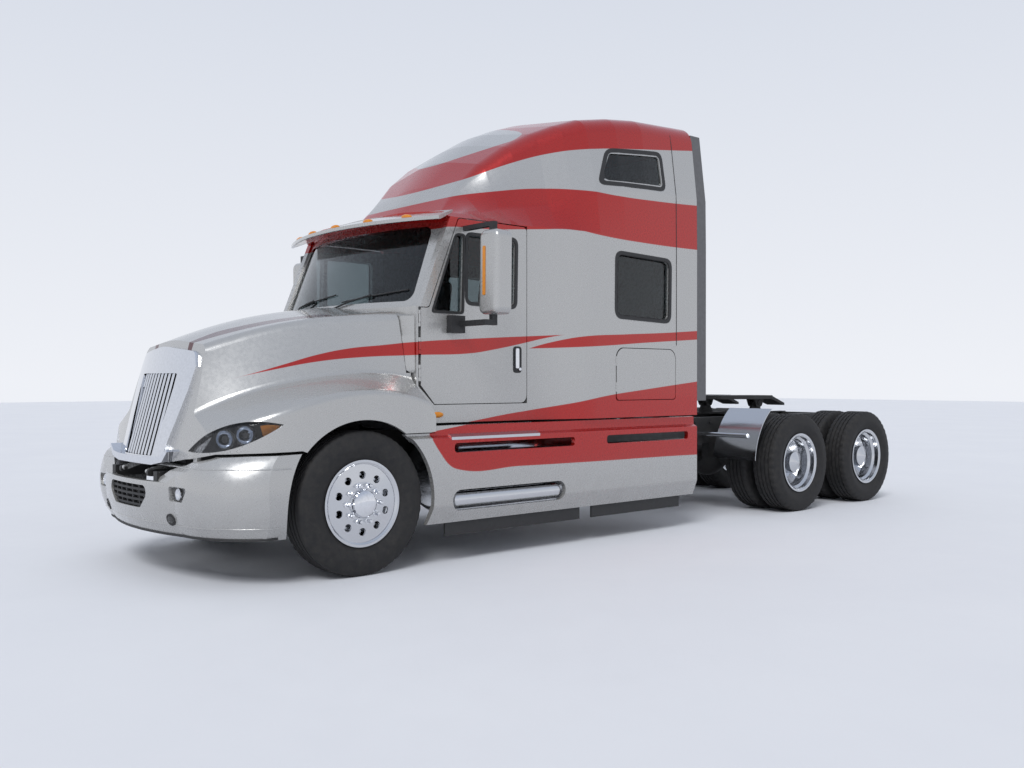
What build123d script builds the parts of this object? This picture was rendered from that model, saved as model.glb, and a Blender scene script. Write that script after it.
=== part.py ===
from build123d import *
import math
import os

# Driving sizes in millimetres. The model origin is on the ground under the front axle;
# the front faces -Y and the left side is +X. Every piece is shifted once, on export.
WHEELBASE = 5940
TANDEM_PITCH = 1320
FRONT_OVERHANG = 1190
REAR_OVERHANG = 1400
OVERALL_LENGTH = FRONT_OVERHANG + WHEELBASE + REAR_OVERHANG
FRONT_AXLE_Y = FRONT_OVERHANG - OVERALL_LENGTH / 2
FRAME_END = WHEELBASE + REAR_OVERHANG
DRIVE_YS = (WHEELBASE - TANDEM_PITCH / 2, WHEELBASE + TANDEM_PITCH / 2)

# Tyres and rims
TYRE_R = 500
WHEEL_Z = TYRE_R
TYRE_HALF = 140
BEAD_R = 286
FLANGE_R = 300
RIM_HALF = 118
FRONT_WHEEL_X = 1035
TWIN_XS = (1080, 740)
TWIN_FACE_X = sum(TWIN_XS) / 2
HAND_HOLES = 10

# Steering
KINGPIN_X = 880
KINGPIN_R = 24
PIN_GAP = 0.4
FRONT_SPINDLE_R = 38
DRIVE_SPINDLE_R = 50
TIE_ROD_Y = 210
TIE_ROD_X = KINGPIN_X

# Ladder frame
RAIL_X = 430
RAIL_DEEP = 270
RAIL_FLANGE = 90
RAIL_WALL = 10
FRAME_TOP = 960
FRAME_LOW = FRAME_TOP - RAIL_DEEP
RAIL_FRONT = -950

# Cab and sleeper shell
WALL = 60
CAB_X = 1050
SLEEPER_X = 1200
FLARE_START = 1700
FLARE_END = 2150
CAB_FRONT = 522
CAB_LOW = 1030
FLOOR_T = 60
SLEEPER_REAR = 3580
ROOF_SEAM = 2575
SEAM = 6

# Front doors
DOOR_FRONT = 564
DOOR_REAR = 1604
DOOR_LOW = 1170
DOOR_TOP = ROOF_SEAM - 8
DOOR_SILL_FRONT = 690
DOOR_CUT_Z = 1310
DOOR_BELT_Z = 1880
DOOR_PILLAR_Y = 640
PILLAR_LEAN = 0.40
DOOR_FRONT_GAP = 24
HINGE_R = 9
HINGE_PIN_R = 5
DOOR_HINGE_ZS = (1400, 1600, 1800)

# Windscreen frame
SCREEN_LOW = 1890
SCREEN_BULGE = 200
SCREEN_CORNER_Y = 580
SCREEN_T = 50
COWL_LEDGE = 15
GLASS_T = 8

# Luggage doors
LUGGAGE = dict(front=2500, rear=3270, low=1180, top=1620)
LUGGAGE_GAP = 12
LUGGAGE_PIN_R = 3
LUGGAGE_HINGE_R = 5
LUGGAGE_HINGE_ZS = (1290, 1510)

# Hood and its tilt
HOOD_WALL = 30
HOOD_REAR = 508
HOOD_PIVOT_Y = -1120
HOOD_PIVOT_Z = 720
HOOD_PIN_R = 12
HOOD_LUG_X = 200
HOOD_LUG_T = 30
HOOD_BAR_Y = -985
HOOD_BAR_Z = 765
HOOD_BAR_R = 14
ARCH_R = 575
LINER_R = 600
LINER_T = 10

# Bumper
BUMPER_LOW = 310
BUMPER_TOP = 864
BUMPER_T = 40
BUMPER_REAR = -450

# Nose and grille, both bowed in plan and leaning back
NOSE_LEAN = 0.268
NOSE_BOW = 169
GRILLE_LEAN = 0.27
GRILLE_BOW = 103

# Side fairings
FAIRING_X = 1200
FAIRING_T = 40
FAIRING_LOW = 300
FAIRING_LEDGE = 945
FAIRING_TOP = 1015

# Coupling
COUPLING_Y = 5700
COUPLING_TOP = 1180
COUPLING_PIVOT_Z = 1100
PLATE_T = 40
PLATE_HALF = 450
PIVOT_R = 30
JAW_R = 25.45

AXLE_LINE = Axis((0, 0, WHEEL_Z), (1, 0, 0))


def outline(points, radii):
    return make_face(FilletPolyline(*points, radius=radii, close=True))


def plan_slab(points, radii, z0, z1):
    return extrude(Plane.XY.offset(z0) * outline(points, radii), z1 - z0)


def front_slab(points, radii, y0, y1):
    return extrude(Plane.XZ.offset(-y1) * outline(points, radii), y1 - y0)


def side_slab(points, radii, x0, x1):
    return extrude(Plane.YZ.offset(x0) * outline(points, radii), x1 - x0)


def block(x0, x1, y0, y1, z0, z1):
    return Pos((x0 + x1) / 2, (y0 + y1) / 2, (z0 + z1) / 2) * Box(x1 - x0, y1 - y0, z1 - z0)


def rod_x(r, x0, x1, y, z):
    return Pos((x0 + x1) / 2, y, z) * Rot(0, 90, 0) * Cylinder(r, x1 - x0)


def rod_y(r, y0, y1, x, z):
    return Pos(x, (y0 + y1) / 2, z) * Rot(90, 0, 0) * Cylinder(r, y1 - y0)


def rod_z(r, z0, z1, x, y):
    return Pos(x, y, (z0 + z1) / 2) * Cylinder(r, z1 - z0)


def flip(shape):
    return mirror(shape, about=Plane.YZ)


def pair(shape):
    return Compound(children=list(shape.solids()) + list(flip(shape).solids()))


def merged(*shapes):
    result = shapes[0]
    for shape in shapes[1:]:
        result = result + shape
    return result


def export(name, *shapes):
    solids = [solid for shape in shapes for solid in shape.solids()]
    piece = solids[0] if len(solids) == 1 else Compound(children=solids)
    export_step(piece.moved(Location((0, FRONT_AXLE_Y, 0))), f"parts/{name}.step")


def cab_plan(inset, front, rear):
    half = [
        (CAB_X - inset, front),
        (CAB_X - inset, FLARE_START),
        (SLEEPER_X - inset, FLARE_END),
        (SLEEPER_X - inset, rear),
    ]
    points = half + [(-x, y) for x, y in reversed(half)]
    radii = [0, 700 - inset, 700 + inset, 0, 0, 700 + inset, 700 - inset, 0]
    return points, radii


LEAN_LENGTH = math.hypot(1, PILLAR_LEAN)
SCREEN_PLANE = Plane((0, SCREEN_CORNER_Y, SCREEN_LOW), x_dir=(1, 0, 0), z_dir=(0, PILLAR_LEAN, 1))


def screen_strip(thick_from, thick_to, half, low=SCREEN_LOW):
    """A strip bowed forward and leaning back as the pillars do, cut level at sill and roof."""
    bow = SCREEN_BULGE / LEAN_LENGTH
    front = ThreePointArc((-half, thick_from), (0, thick_from - bow), (half, thick_from))
    back = ThreePointArc((half, thick_to), (0, thick_to - bow), (-half, thick_to))
    face = make_face([front, Line(front @ 1, back @ 0), back, Line(back @ 1, front @ 0)])
    strip = extrude(SCREEN_PLANE * face, 1100, both=True)
    return strip & block(-half, half, 0, 2000, low, ROOF_SEAM)


os.makedirs("parts", exist_ok=True)

# Ladder frame: two channel rails open inwards, joined by crossmembers
rail = block(RAIL_X - RAIL_FLANGE, RAIL_X, RAIL_FRONT, FRAME_END, FRAME_LOW, FRAME_TOP) - block(
    RAIL_X - RAIL_FLANGE, RAIL_X - RAIL_WALL, RAIL_FRONT, FRAME_END, FRAME_LOW + RAIL_WALL, FRAME_TOP - RAIL_WALL
)
CROSSMEMBERS = (RAIL_FRONT + 40, 1750, 3000, 4400, WHEELBASE, FRAME_END - 40)
frame = rail + flip(rail)
for y in CROSSMEMBERS:
    frame = frame + block(-RAIL_X + 5, RAIL_X - 5, y - 40, y + 40, FRAME_LOW + 60, FRAME_TOP - RAIL_WALL)
hinge_arm = side_slab(
    [
        (RAIL_FRONT + 20, FRAME_LOW),
        (RAIL_FRONT + 20, HOOD_BAR_Z + 25),
        (RAIL_FRONT - 12, HOOD_BAR_Z + 25),
        (RAIL_FRONT - 12, HOOD_PIVOT_Z + 18),
        (HOOD_PIVOT_Y - 24, HOOD_PIVOT_Z + 18),
        (HOOD_PIVOT_Y - 24, HOOD_PIVOT_Z - 24),
        (RAIL_FRONT - 12, FRAME_LOW - 10),
    ],
    [0, 0, 0, 0, 16, 16, 0],
    HOOD_LUG_X + HOOD_LUG_T + 5,
    HOOD_LUG_X + HOOD_LUG_T + 35,
)
hood_pin = rod_x(HOOD_PIN_R, HOOD_LUG_X - 5, HOOD_LUG_X + HOOD_LUG_T + 10, HOOD_PIVOT_Y, HOOD_PIVOT_Z)
bumper_stay = block(RAIL_X - 80, RAIL_X - 20, -1140, RAIL_FRONT + 50, FRAME_LOW - 35, FRAME_LOW + 45)
horn = hinge_arm + hood_pin + bumper_stay
frame = frame + horn + flip(horn)
export("chassis_frame", frame)

# Front axle beam with kingpins
BEAM_HALF = 45
BEAM_LOW = 395
BEAM_TOP = 485
BOSS_R = 48
BOSS_HALF = 48
beam = front_slab(
    [
        (-KINGPIN_X, WHEEL_Z - BOSS_HALF),
        (-810, WHEEL_Z - BOSS_HALF),
        (-600, BEAM_LOW),
        (600, BEAM_LOW),
        (810, WHEEL_Z - BOSS_HALF),
        (KINGPIN_X, WHEEL_Z - BOSS_HALF),
        (KINGPIN_X, WHEEL_Z + BOSS_HALF),
        (810, WHEEL_Z + BOSS_HALF),
        (600, BEAM_TOP),
        (-600, BEAM_TOP),
        (-810, WHEEL_Z + BOSS_HALF),
        (-KINGPIN_X, WHEEL_Z + BOSS_HALF),
    ],
    [0, 40, 80, 80, 40, 0, 0, 40, 80, 80, 40, 0],
    -BEAM_HALF,
    BEAM_HALF,
)
kingpin = rod_z(BOSS_R, WHEEL_Z - BOSS_HALF, WHEEL_Z + BOSS_HALF, KINGPIN_X, 0) + rod_z(
    KINGPIN_R, WHEEL_Z - 115, WHEEL_Z + 115, KINGPIN_X, 0
)
axle = merged(beam, kingpin, flip(kingpin))

# Front leaf springs with their hangers
SPRING_X = RAIL_X - 45
SPRING_HALF = 45
SPRING_REACH = 720
leaf_low = ThreePointArc((-SPRING_REACH, 600), (0, BEAM_TOP), (SPRING_REACH, 600))
leaf_top = ThreePointArc((SPRING_REACH, 640), (0, BEAM_TOP + 60), (-SPRING_REACH, 640))
leaf = make_face([leaf_low, Line(leaf_low @ 1, leaf_top @ 0), leaf_top, Line(leaf_top @ 1, leaf_low @ 0)])
spring = extrude(Plane.YZ.offset(SPRING_X - SPRING_HALF) * leaf, SPRING_HALF * 2)
for y in (-SPRING_REACH, SPRING_REACH):
    spring = spring + block(
        SPRING_X - SPRING_HALF, SPRING_X + SPRING_HALF, y - 45, y + 45, 590, FRAME_LOW
    )
spring = spring + block(
    SPRING_X - SPRING_HALF, SPRING_X + SPRING_HALF, -70, 70, BEAM_TOP - 5, BEAM_TOP + 40
)
export("front_axle", merged(axle, spring, flip(spring)))

# Steering knuckles: ears round the kingpin, shield, spindle and rear arm
EAR_T = 50
ear_gap = BOSS_HALF + 6
knuckle = block(KINGPIN_X + 56, KINGPIN_X + 86, -55, 55, WHEEL_Z - ear_gap - EAR_T, WHEEL_Z + ear_gap + EAR_T)
for z0 in (WHEEL_Z + ear_gap, WHEEL_Z - ear_gap - EAR_T):
    knuckle = knuckle + rod_z(50, z0, z0 + EAR_T, KINGPIN_X, 0)
    knuckle = knuckle + block(KINGPIN_X, KINGPIN_X + 60, -50, 50, z0, z0 + EAR_T)
knuckle = knuckle + rod_x(185, KINGPIN_X + 80, KINGPIN_X + 90, 0, WHEEL_Z)
knuckle = knuckle + rod_x(FRONT_SPINDLE_R, KINGPIN_X + 80, FRONT_WHEEL_X + 75, 0, WHEEL_Z)
arm = plan_slab(
    [
        (KINGPIN_X - 40, 0),
        (KINGPIN_X + 40, 0),
        (TIE_ROD_X + 26, TIE_ROD_Y + 30),
        (TIE_ROD_X - 26, TIE_ROD_Y + 30),
    ],
    [0, 0, 24, 24],
    WHEEL_Z - ear_gap - EAR_T,
    WHEEL_Z - ear_gap - EAR_T + 30,
)
arm_low = WHEEL_Z - ear_gap - EAR_T
knuckle = knuckle + arm
knuckle = knuckle - rod_z(KINGPIN_R + PIN_GAP, 300, 700, KINGPIN_X, 0)
knuckle = knuckle - rod_z(14 + PIN_GAP, 300, 700, TIE_ROD_X, TIE_ROD_Y)
export("knuckle_left", knuckle)
export("knuckle_right", flip(knuckle))

# Tie rod under the steering arms
rod_z0 = arm_low - 6 - 44
tie_rod = rod_x(18, -TIE_ROD_X, TIE_ROD_X, TIE_ROD_Y, arm_low - 28)
for x in (-TIE_ROD_X, TIE_ROD_X):
    tie_rod = tie_rod + rod_z(27, rod_z0, arm_low - 6, x, TIE_ROD_Y)
    tie_rod = tie_rod + rod_z(14, arm_low - 10, arm_low + 30, x, TIE_ROD_Y)
export("tie_rod", tie_rod)


def ring(profile, x):
    """Turn a profile given as (offset along X, radius) about the axle line."""
    points = [(x + a, WHEEL_Z + r) for a, r in profile]
    face = Plane.XZ * make_face(Polyline(*points, close=True))
    return revolve(face, AXLE_LINE)


def tyre_at(x):
    half = TYRE_HALF
    tread = half - 24
    low = Polyline(
        (x - 100, WHEEL_Z + FLANGE_R + 6),
        (x - 100, WHEEL_Z + BEAD_R),
        (x - 60, WHEEL_Z + BEAD_R),
        (x - 60, WHEEL_Z + FLANGE_R),
        (x + 60, WHEEL_Z + FLANGE_R),
        (x + 60, WHEEL_Z + BEAD_R),
        (x + 100, WHEEL_Z + BEAD_R),
        (x + 100, WHEEL_Z + FLANGE_R + 6),
    )
    out_side = ThreePointArc(
        (x + 100, WHEEL_Z + FLANGE_R + 6), (x + half, WHEEL_Z + 395), (x + tread, WHEEL_Z + TYRE_R - 8)
    )
    crown = Polyline(
        (x + tread, WHEEL_Z + TYRE_R - 8),
        (x + tread - 14, WHEEL_Z + TYRE_R),
        (x - tread + 14, WHEEL_Z + TYRE_R),
        (x - tread, WHEEL_Z + TYRE_R - 8),
    )
    in_side = ThreePointArc(
        (x - tread, WHEEL_Z + TYRE_R - 8), (x - half, WHEEL_Z + 395), (x - 100, WHEEL_Z + FLANGE_R + 6)
    )
    face = Plane.XZ * make_face([low, out_side, crown, in_side])
    return revolve(face, AXLE_LINE)


RIM_BARREL = [
    (-RIM_HALF, FLANGE_R),
    (-102, FLANGE_R),
    (-100, BEAD_R),
    (-60, BEAD_R),
    (-40, 258),
    (40, 258),
    (60, BEAD_R),
    (100, BEAD_R),
    (102, FLANGE_R),
    (RIM_HALF, FLANGE_R),
    (RIM_HALF, 284),
    (108, 270),
    (64, 268),
    (44, 244),
    (-44, 244),
    (-64, 268),
    (-108, 270),
    (-RIM_HALF, 284),
]
FRONT_CENTRE = [
    (72, 276),
    (102, 276),
    (104, 250),
    (112, 150),
    (112, 92),
    (150, 80),
    (160, 40),
    (160, 0),
    (80, 0),
    (80, FRONT_SPINDLE_R + PIN_GAP),
    (-50, FRONT_SPINDLE_R + PIN_GAP),
    (-50, 190),
    (-50, 205),
    (70, 205),
    (70, 190),
    (-30, 190),
    (-30, 70),
    (70, 70),
    (98, 150),
    (88, 240),
    (72, 256),
]

# Front wheels: disc near the outer flange, ten hand holes, hub with cap
front_wheel = ring(RIM_BARREL, FRONT_WHEEL_X) + ring(FRONT_CENTRE, FRONT_WHEEL_X)
hand_hole = rod_x(27, FRONT_WHEEL_X + 75, FRONT_WHEEL_X + 140, 0, WHEEL_Z + 196)
for i in range(HAND_HOLES):
    front_wheel = front_wheel - hand_hole.rotate(AXLE_LINE, 360 / HAND_HOLES * i)
front_tyre = tyre_at(FRONT_WHEEL_X)
export("front_wheel_left", front_wheel)
export("front_wheel_right", flip(front_wheel))
export("front_tyre_left", front_tyre)
export("front_tyre_right", flip(front_tyre))

# Twin drive wheels: two rims back to back on one hub with a pointed cap
disc_out = ring(
    [
        (104, 262),
        (100, 278),
        (66, 276),
        (28, 240),
        (14, 222),
        (0, 214),
        (0, DRIVE_SPINDLE_R + PIN_GAP),
        (60, DRIVE_SPINDLE_R + PIN_GAP),
        (60, 105),
        (215, 96),
        (225, 70),
        (262, 0),
        (275, 0),
        (240, 82),
        (228, 110),
        (75, 125),
        (16, 125),
        (16, 196),
        (44, 222),
    ],
    TWIN_FACE_X,
)
disc_in = ring(
    [
        (-104, 262),
        (-100, 278),
        (-66, 276),
        (-28, 240),
        (-14, 222),
        (0, 214),
        (0, DRIVE_SPINDLE_R + PIN_GAP),
        (-16, DRIVE_SPINDLE_R + PIN_GAP),
        (-16, 196),
        (-44, 222),
    ],
    TWIN_FACE_X,
)
hub_in = ring(
    [
        (0, DRIVE_SPINDLE_R + PIN_GAP),
        (0, 100),
        (-40, 205),
        (-250, 205),
        (-250, 190),
        (-60, 190),
        (-60, DRIVE_SPINDLE_R + PIN_GAP),
    ],
    TWIN_FACE_X,
)
twin_wheel = merged(ring(RIM_BARREL, TWIN_XS[0]), ring(RIM_BARREL, TWIN_XS[1]), disc_out, disc_in, hub_in)
hand_hole = rod_x(27, TWIN_FACE_X - 100, TWIN_FACE_X + 100, 0, WHEEL_Z + 170)
for i in range(HAND_HOLES):
    twin_wheel = twin_wheel - hand_hole.rotate(AXLE_LINE, 360 / HAND_HOLES * i)
twin_tyres = [tyre_at(x) for x in TWIN_XS]
for number, y in enumerate(DRIVE_YS, start=1):
    for side, turn in (("left", lambda s: s), ("right", flip)):
        export(f"drive_wheel_{number}_{side}", turn(Pos(0, y, 0) * twin_wheel))
        export(f"drive_tyres_{number}_{side}", *[turn(Pos(0, y, 0) * tyre) for tyre in twin_tyres])

# Drive axles: housing bowl, tubes and spindles
housing = revolve(
    Plane.XZ
    * make_face(
        [
            Polyline(
                (0, WHEEL_Z),
                (0, WHEEL_Z + 215),
            ),
            ThreePointArc((0, WHEEL_Z + 215), (130, WHEEL_Z + 170), (230, WHEEL_Z + 78)),
            Polyline(
                (230, WHEEL_Z + 78),
                (620, WHEEL_Z + 70),
                (640, WHEEL_Z + DRIVE_SPINDLE_R),
                (940, WHEEL_Z + DRIVE_SPINDLE_R),
                (940, WHEEL_Z),
                (0, WHEEL_Z),
            ),
        ]
    ),
    AXLE_LINE,
)
housing = housing + flip(housing)
nose = rod_y(95, -330, 0, 0, WHEEL_Z + 40)
drive_axle = housing + nose

# Trailing arms with air springs, one set at each end of each drive axle
ARM_X = SPRING_X
arm_side = [
    (-520, 560),
    (-520, 620),
    (-440, 620),
    (-100, WHEEL_Z + 115),
    (110, WHEEL_Z + 115),
    (300, 520),
    (480, 520),
    (480, 490),
    (290, 490),
    (100, WHEEL_Z + 72),
    (-100, WHEEL_Z + 72),
    (-420, 560),
]
trail = side_slab(arm_side, [0] * len(arm_side), ARM_X - 40, ARM_X + 40)
trail = trail + block(ARM_X - 44, ARM_X + 44, -530, -430, 540, FRAME_LOW)
trail = trail + block(ARM_X - 40, ARM_X + 40, -95, 95, WHEEL_Z, WHEEL_Z + 80)
trail = trail + rod_z(105, 518, FRAME_LOW, ARM_X, 375)
trail = trail - housing
trail = trail.solids().sort_by(SortBy.VOLUME)[-1]
drive_axle = merged(drive_axle, trail, flip(trail))
export("drive_axles", *[Pos(0, y, 0) * drive_axle for y in DRIVE_YS])

# Engine block, gearbox with propeller shafts, radiator
ENGINE_HALF = RAIL_X - RAIL_FLANGE
engine = block(-ENGINE_HALF + 20, ENGINE_HALF - 20, -560, 500, 640, 1460)
for y in (-300, 300):
    engine = engine + block(-ENGINE_HALF, ENGINE_HALF, y - 60, y + 60, 740, 860)
gearbox = rod_y(210, 500, 760, 0, 790) + rod_y(150, 760, 1560, 0, 770)
gearbox = gearbox - block(-400, 400, 400, 2000, CAB_LOW - 5, 2000)
shaft_start = Vector(0, 1560, 770)
shaft_end = Vector(0, DRIVE_YS[0] - 330, WHEEL_Z + 40)
run = shaft_end - shaft_start
shaft = Plane(shaft_start, z_dir=run) * Pos(0, 0, run.length / 2) * Cylinder(55, run.length)
shaft = shaft - frame - Pos(0, DRIVE_YS[0], 0) * drive_axle
shaft = shaft.solids().sort_by(SortBy.VOLUME)[-1]
export("powertrain", merged(engine, gearbox, shaft))
radiator = block(-380, 380, -820, -720, FRAME_TOP - 200, 1380)
radiator = radiator - frame
export("radiator", radiator.solids().sort_by(SortBy.VOLUME)[-1])

# Fuel tanks hung on the rails, with polished tubes outside them
TANK_R = 300
TANK_X = 790
TANK_Z = 640
TANK_YS = (830, 2300)
tank = fillet(rod_y(TANK_R, TANK_YS[0], TANK_YS[1], TANK_X, TANK_Z).edges(), 40)
for y in (1050, 2050):
    tank = tank + block(RAIL_X, TANK_X, y - 40, y + 40, TANK_Z + 60, TANK_Z + 240)
TUBE_R = 60
TUBE_X = 1128
TUBE_Z = 462
tube = fillet(rod_y(TUBE_R, 770, 1870, TUBE_X, TUBE_Z).edges(), 40)
for y in (900, 1740):
    tube = tube + (block(980, TUBE_X, y - 30, y + 30, TUBE_Z - 20, TUBE_Z + 40) - tank)
export("fuel_tanks", pair(tank + tube))


# Bumper: plan outlines lofted upwards, the top one drawn in towards the hood
BUMPER_ROWS = [
    dict(z=BUMPER_LOW, inset=75, mid=620, sag=85, corner_y=-720, corner_r=620),
    dict(z=430, inset=10, mid=620, sag=85, corner_y=-720, corner_r=620),
    dict(z=735, inset=0, mid=620, sag=85, corner_y=-720, corner_r=620),
    dict(z=BUMPER_TOP, inset=27, mid=480, sag=60, corner_y=-640, corner_r=900),
]


def bumper_face(row, z, wall):
    half = 1192 - row["inset"] - wall
    nose_y = -FRONT_OVERHANG + row["inset"] + wall
    mid_y = nose_y + row["sag"]
    middle = ThreePointArc((-row["mid"], mid_y), (0, nose_y), (row["mid"], mid_y))
    left = RadiusArc((row["mid"], mid_y), (half, row["corner_y"]), -row["corner_r"])
    right = RadiusArc((-half, row["corner_y"]), (-row["mid"], mid_y), -row["corner_r"])
    corner_y = row["corner_y"]
    tail = Polyline((half, corner_y), (half, BUMPER_REAR), (-half, BUMPER_REAR), (-half, corner_y))
    return Pos(0, 0, z) * make_face([middle, left, tail, right])


bumper_outer = loft([bumper_face(row, row["z"], 0) for row in BUMPER_ROWS])
bumper_inner = loft(
    [bumper_face(row, row["z"] + dz, BUMPER_T) for row, dz in zip(BUMPER_ROWS, (-1, 0, 0, 1))]
)
over_bumper = side_slab(
    [
        (-1500, 672),
        (-1135, 672),
        (-1090, 750),
        (-1030, 810),
        (-930, 848),
        (-800, 856),
        (-400, 864),
        (-400, 1100),
        (-1500, 1100),
    ],
    [0] * 9,
    -1300,
    1300,
)
wheel_room = rod_x(LINER_R, 560, 1300, 0, WHEEL_Z)
bumper = bumper_outer - bumper_inner - over_bumper - wheel_room - flip(wheel_room)
intake = front_slab([(-225, 484), (225, 484), (400, 640), (-400, 640)], [40, 40, 50, 50], -1400, -1000)
bumper = bumper - intake
fog_hole = front_slab([(585, 556), (735, 556), (790, 650), (575, 650)], [15, 15, 20, 15], -1400, -700)
bumper = bumper - fog_hole - flip(fog_hole)
bumper = bumper - frame
bumper = bumper.solids().sort_by(SortBy.VOLUME)[-1]
export("bumper", bumper)
fog = (bumper_outer - bumper_inner) & fog_hole & (Pos(0, 22, 0) * bumper_outer)
export("fog_lamps", pair(fog))
mesh = (bumper_outer - bumper_inner) & intake
bars = None
for z in range(500, 640, 36):
    bar = block(-420, 420, -1400, -1000, z - 8, z + 8)
    bars = bar if bars is None else bars + bar
for x in range(-400, 401, 100):
    bars = bars + block(x - 6, x + 6, -1400, -1000, 470, 650)
intake_mesh = mesh & bars & (Pos(0, 14, 0) * bumper_outer)
export("intake_mesh", intake_mesh)

# Hood: sections across the length, from the nose to the cowl
HOOD_ROWS = [
    dict(y=-1060, fender=600, fender_z=950, valley=500, valley_z=1060, shoulder=452, shoulder_z=1490, crown=1535),
    dict(y=-960, fender=800, fender_z=1000, valley=570, valley_z=1120, shoulder=478, shoulder_z=1540, crown=1592),
    dict(y=-780, fender=1040, fender_z=1080, valley=670, valley_z=1210, shoulder=525, shoulder_z=1610, crown=1672),
    dict(y=-450, fender=1170, fender_z=1190, valley=790, valley_z=1320, shoulder=625, shoulder_z=1715, crown=1785),
    dict(y=0, fender=1200, fender_z=1270, valley=905, valley_z=1395, shoulder=765, shoulder_z=1800, crown=1885),
    dict(y=300, fender=1200, fender_z=1250, valley=970, valley_z=1395, shoulder=865, shoulder_z=1835, crown=1925),
    dict(y=600, fender=1195, fender_z=1160, valley=1022, valley_z=1330, shoulder=955, shoulder_z=1850, crown=1945),
]


def hood_face(row, inset):
    half = [
        (row["fender"] - inset, 700),
        (row["fender"] - inset - 12, row["fender_z"] - inset * 0.7),
        (row["valley"] - inset, row["valley_z"] - inset * 0.7),
        (row["shoulder"] - inset, row["shoulder_z"] - inset * 0.6),
    ]
    points = half + [(0, row["crown"] - inset)] + [(-x, z) for x, z in reversed(half)]
    radii = [0, 60, 60, 90, 1500, 90, 60, 60, 0]
    return Plane.XZ.offset(-row["y"]) * outline(points, radii)


NOSE_PLANE = Plane((0, -1060, 860), x_dir=(1, 0, 0), z_dir=(0, NOSE_LEAN, 1))


def ahead_of_nose(offset):
    edge = ThreePointArc((-1300, offset + NOSE_BOW), (0, offset), (1300, offset + NOSE_BOW))
    face = make_face([edge, Polyline(edge @ 1, (1300, -900), (-1300, -900), edge @ 0)])
    return extrude(NOSE_PLANE * face, 1500, both=True)


hood_outer = loft([hood_face(row, 0) for row in HOOD_ROWS]) - ahead_of_nose(0)
hood_inner = loft([hood_face(row, HOOD_WALL) for row in HOOD_ROWS]) - block(-1300, 1300, -1400, 1000, 600, 701)
hood_inner = hood_inner - ahead_of_nose(HOOD_WALL)
hood_side = side_slab(
    [
        (-1400, 690),
        (-1135, 690),
        (-1090, 766),
        (-1030, 826),
        (-930, 864),
        (-800, 872),
        (-470, 882),
        (0, 700),
        (330, 970),
        (600, 970),
        (600, 1090),
        (535, 1225),
        (HOOD_REAR, 1300),
        (HOOD_REAR, 2200),
        (-1400, 2200),
    ],
    [0] * 15,
    -1300,
    1300,
)
cowl_arc = ThreePointArc(
    (-1400, HOOD_REAR + 90), (0, HOOD_REAR + 5 - SCREEN_BULGE + 30), (1400, HOOD_REAR + 90)
)
cowl_space = extrude(
    Pos(0, 0, 1400)
    * make_face([cowl_arc, Polyline(cowl_arc @ 1, (1400, 900), (-1400, 900), cowl_arc @ 0)]),
    800,
)
arch = rod_x(ARCH_R, 560, 1300, 0, WHEEL_Z)
hood_shell = (hood_outer - hood_inner) & hood_side
hood_shell = hood_shell - arch - flip(arch) - cowl_space

# Headlamp outline on a plane facing out over the front corner
LAMP_PLANE = Plane((1000, -840, 0), x_dir=(0.72, 0.69, 0), z_dir=(0.69, -0.72, 0))
lamp_top = ThreePointArc((-396, 878), (-95, 1052), (268, 1058))
lamp_low = ThreePointArc((268, 1058), (40, 932), (-396, 878))
lamp_cut = extrude(LAMP_PLANE * make_face([lamp_top, lamp_low]), 260, both=True)
headlamp = ((hood_outer - hood_inner) & hood_side) & lamp_cut
headlamp = headlamp.solids().sort_by(SortBy.VOLUME)[-1]
GRILLE_OPEN = dict(low=832, low_half=252, top=1395, top_half=302)


def grille_opening(grow):
    low_half = GRILLE_OPEN["low_half"] + grow
    top_half = GRILLE_OPEN["top_half"] + grow
    low = GRILLE_OPEN["low"] - grow
    top = GRILLE_OPEN["top"] + grow
    return front_slab(
        [(-low_half, low), (low_half, low), (top_half, top), (-top_half, top)], [30, 30, 25, 25], -1400, -700
    )


hood_shell = hood_shell - lamp_cut - flip(lamp_cut) - grille_opening(3)
hood_shell = hood_shell.solids().sort_by(SortBy.VOLUME)[-1]
lug = side_slab(
    [
        (HOOD_BAR_Y, HOOD_BAR_Z - HOOD_BAR_R),
        (HOOD_BAR_Y, HOOD_BAR_Z + HOOD_BAR_R),
        (HOOD_PIVOT_Y - 18, HOOD_PIVOT_Z + 18),
        (HOOD_PIVOT_Y - 18, HOOD_PIVOT_Z - 18),
    ],
    [0, 0, 16, 16],
    HOOD_LUG_X,
    HOOD_LUG_X + HOOD_LUG_T,
)
lug = lug - rod_x(HOOD_PIN_R + PIN_GAP, 0, 700, HOOD_PIVOT_Y, HOOD_PIVOT_Z)
end_plate = block(672, 700, HOOD_BAR_Y - 17, HOOD_BAR_Y + 15, HOOD_BAR_Z - HOOD_BAR_R, 866)
end_plate = end_plate + block(690, 720, HOOD_BAR_Y - 17, HOOD_BAR_Y + 15, 805, 866)
end_plate = end_plate & hood_outer
lug = lug + end_plate
cross_bar = rod_x(HOOD_BAR_R, -695, 695, HOOD_BAR_Y, HOOD_BAR_Z)
hood = merged(hood_shell, cross_bar, lug, flip(lug))
export("hood", hood)
export("headlamps", pair(headlamp))

# Wheel-arch liners carried by the hood
liner = rod_x(LINER_R + LINER_T, 640, 1140, 0, WHEEL_Z) - rod_x(LINER_R, 640, 1140, 0, WHEEL_Z)
liner = liner & side_slab([(-470, 905), (340, 975), (340, 1400), (-470, 1400)], [0, 0, 0, 0], 600, 1300)
liner = liner & hood_inner
liner = liner.solids().sort_by(SortBy.VOLUME)[-1]
export("arch_liners", pair(liner))

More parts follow.
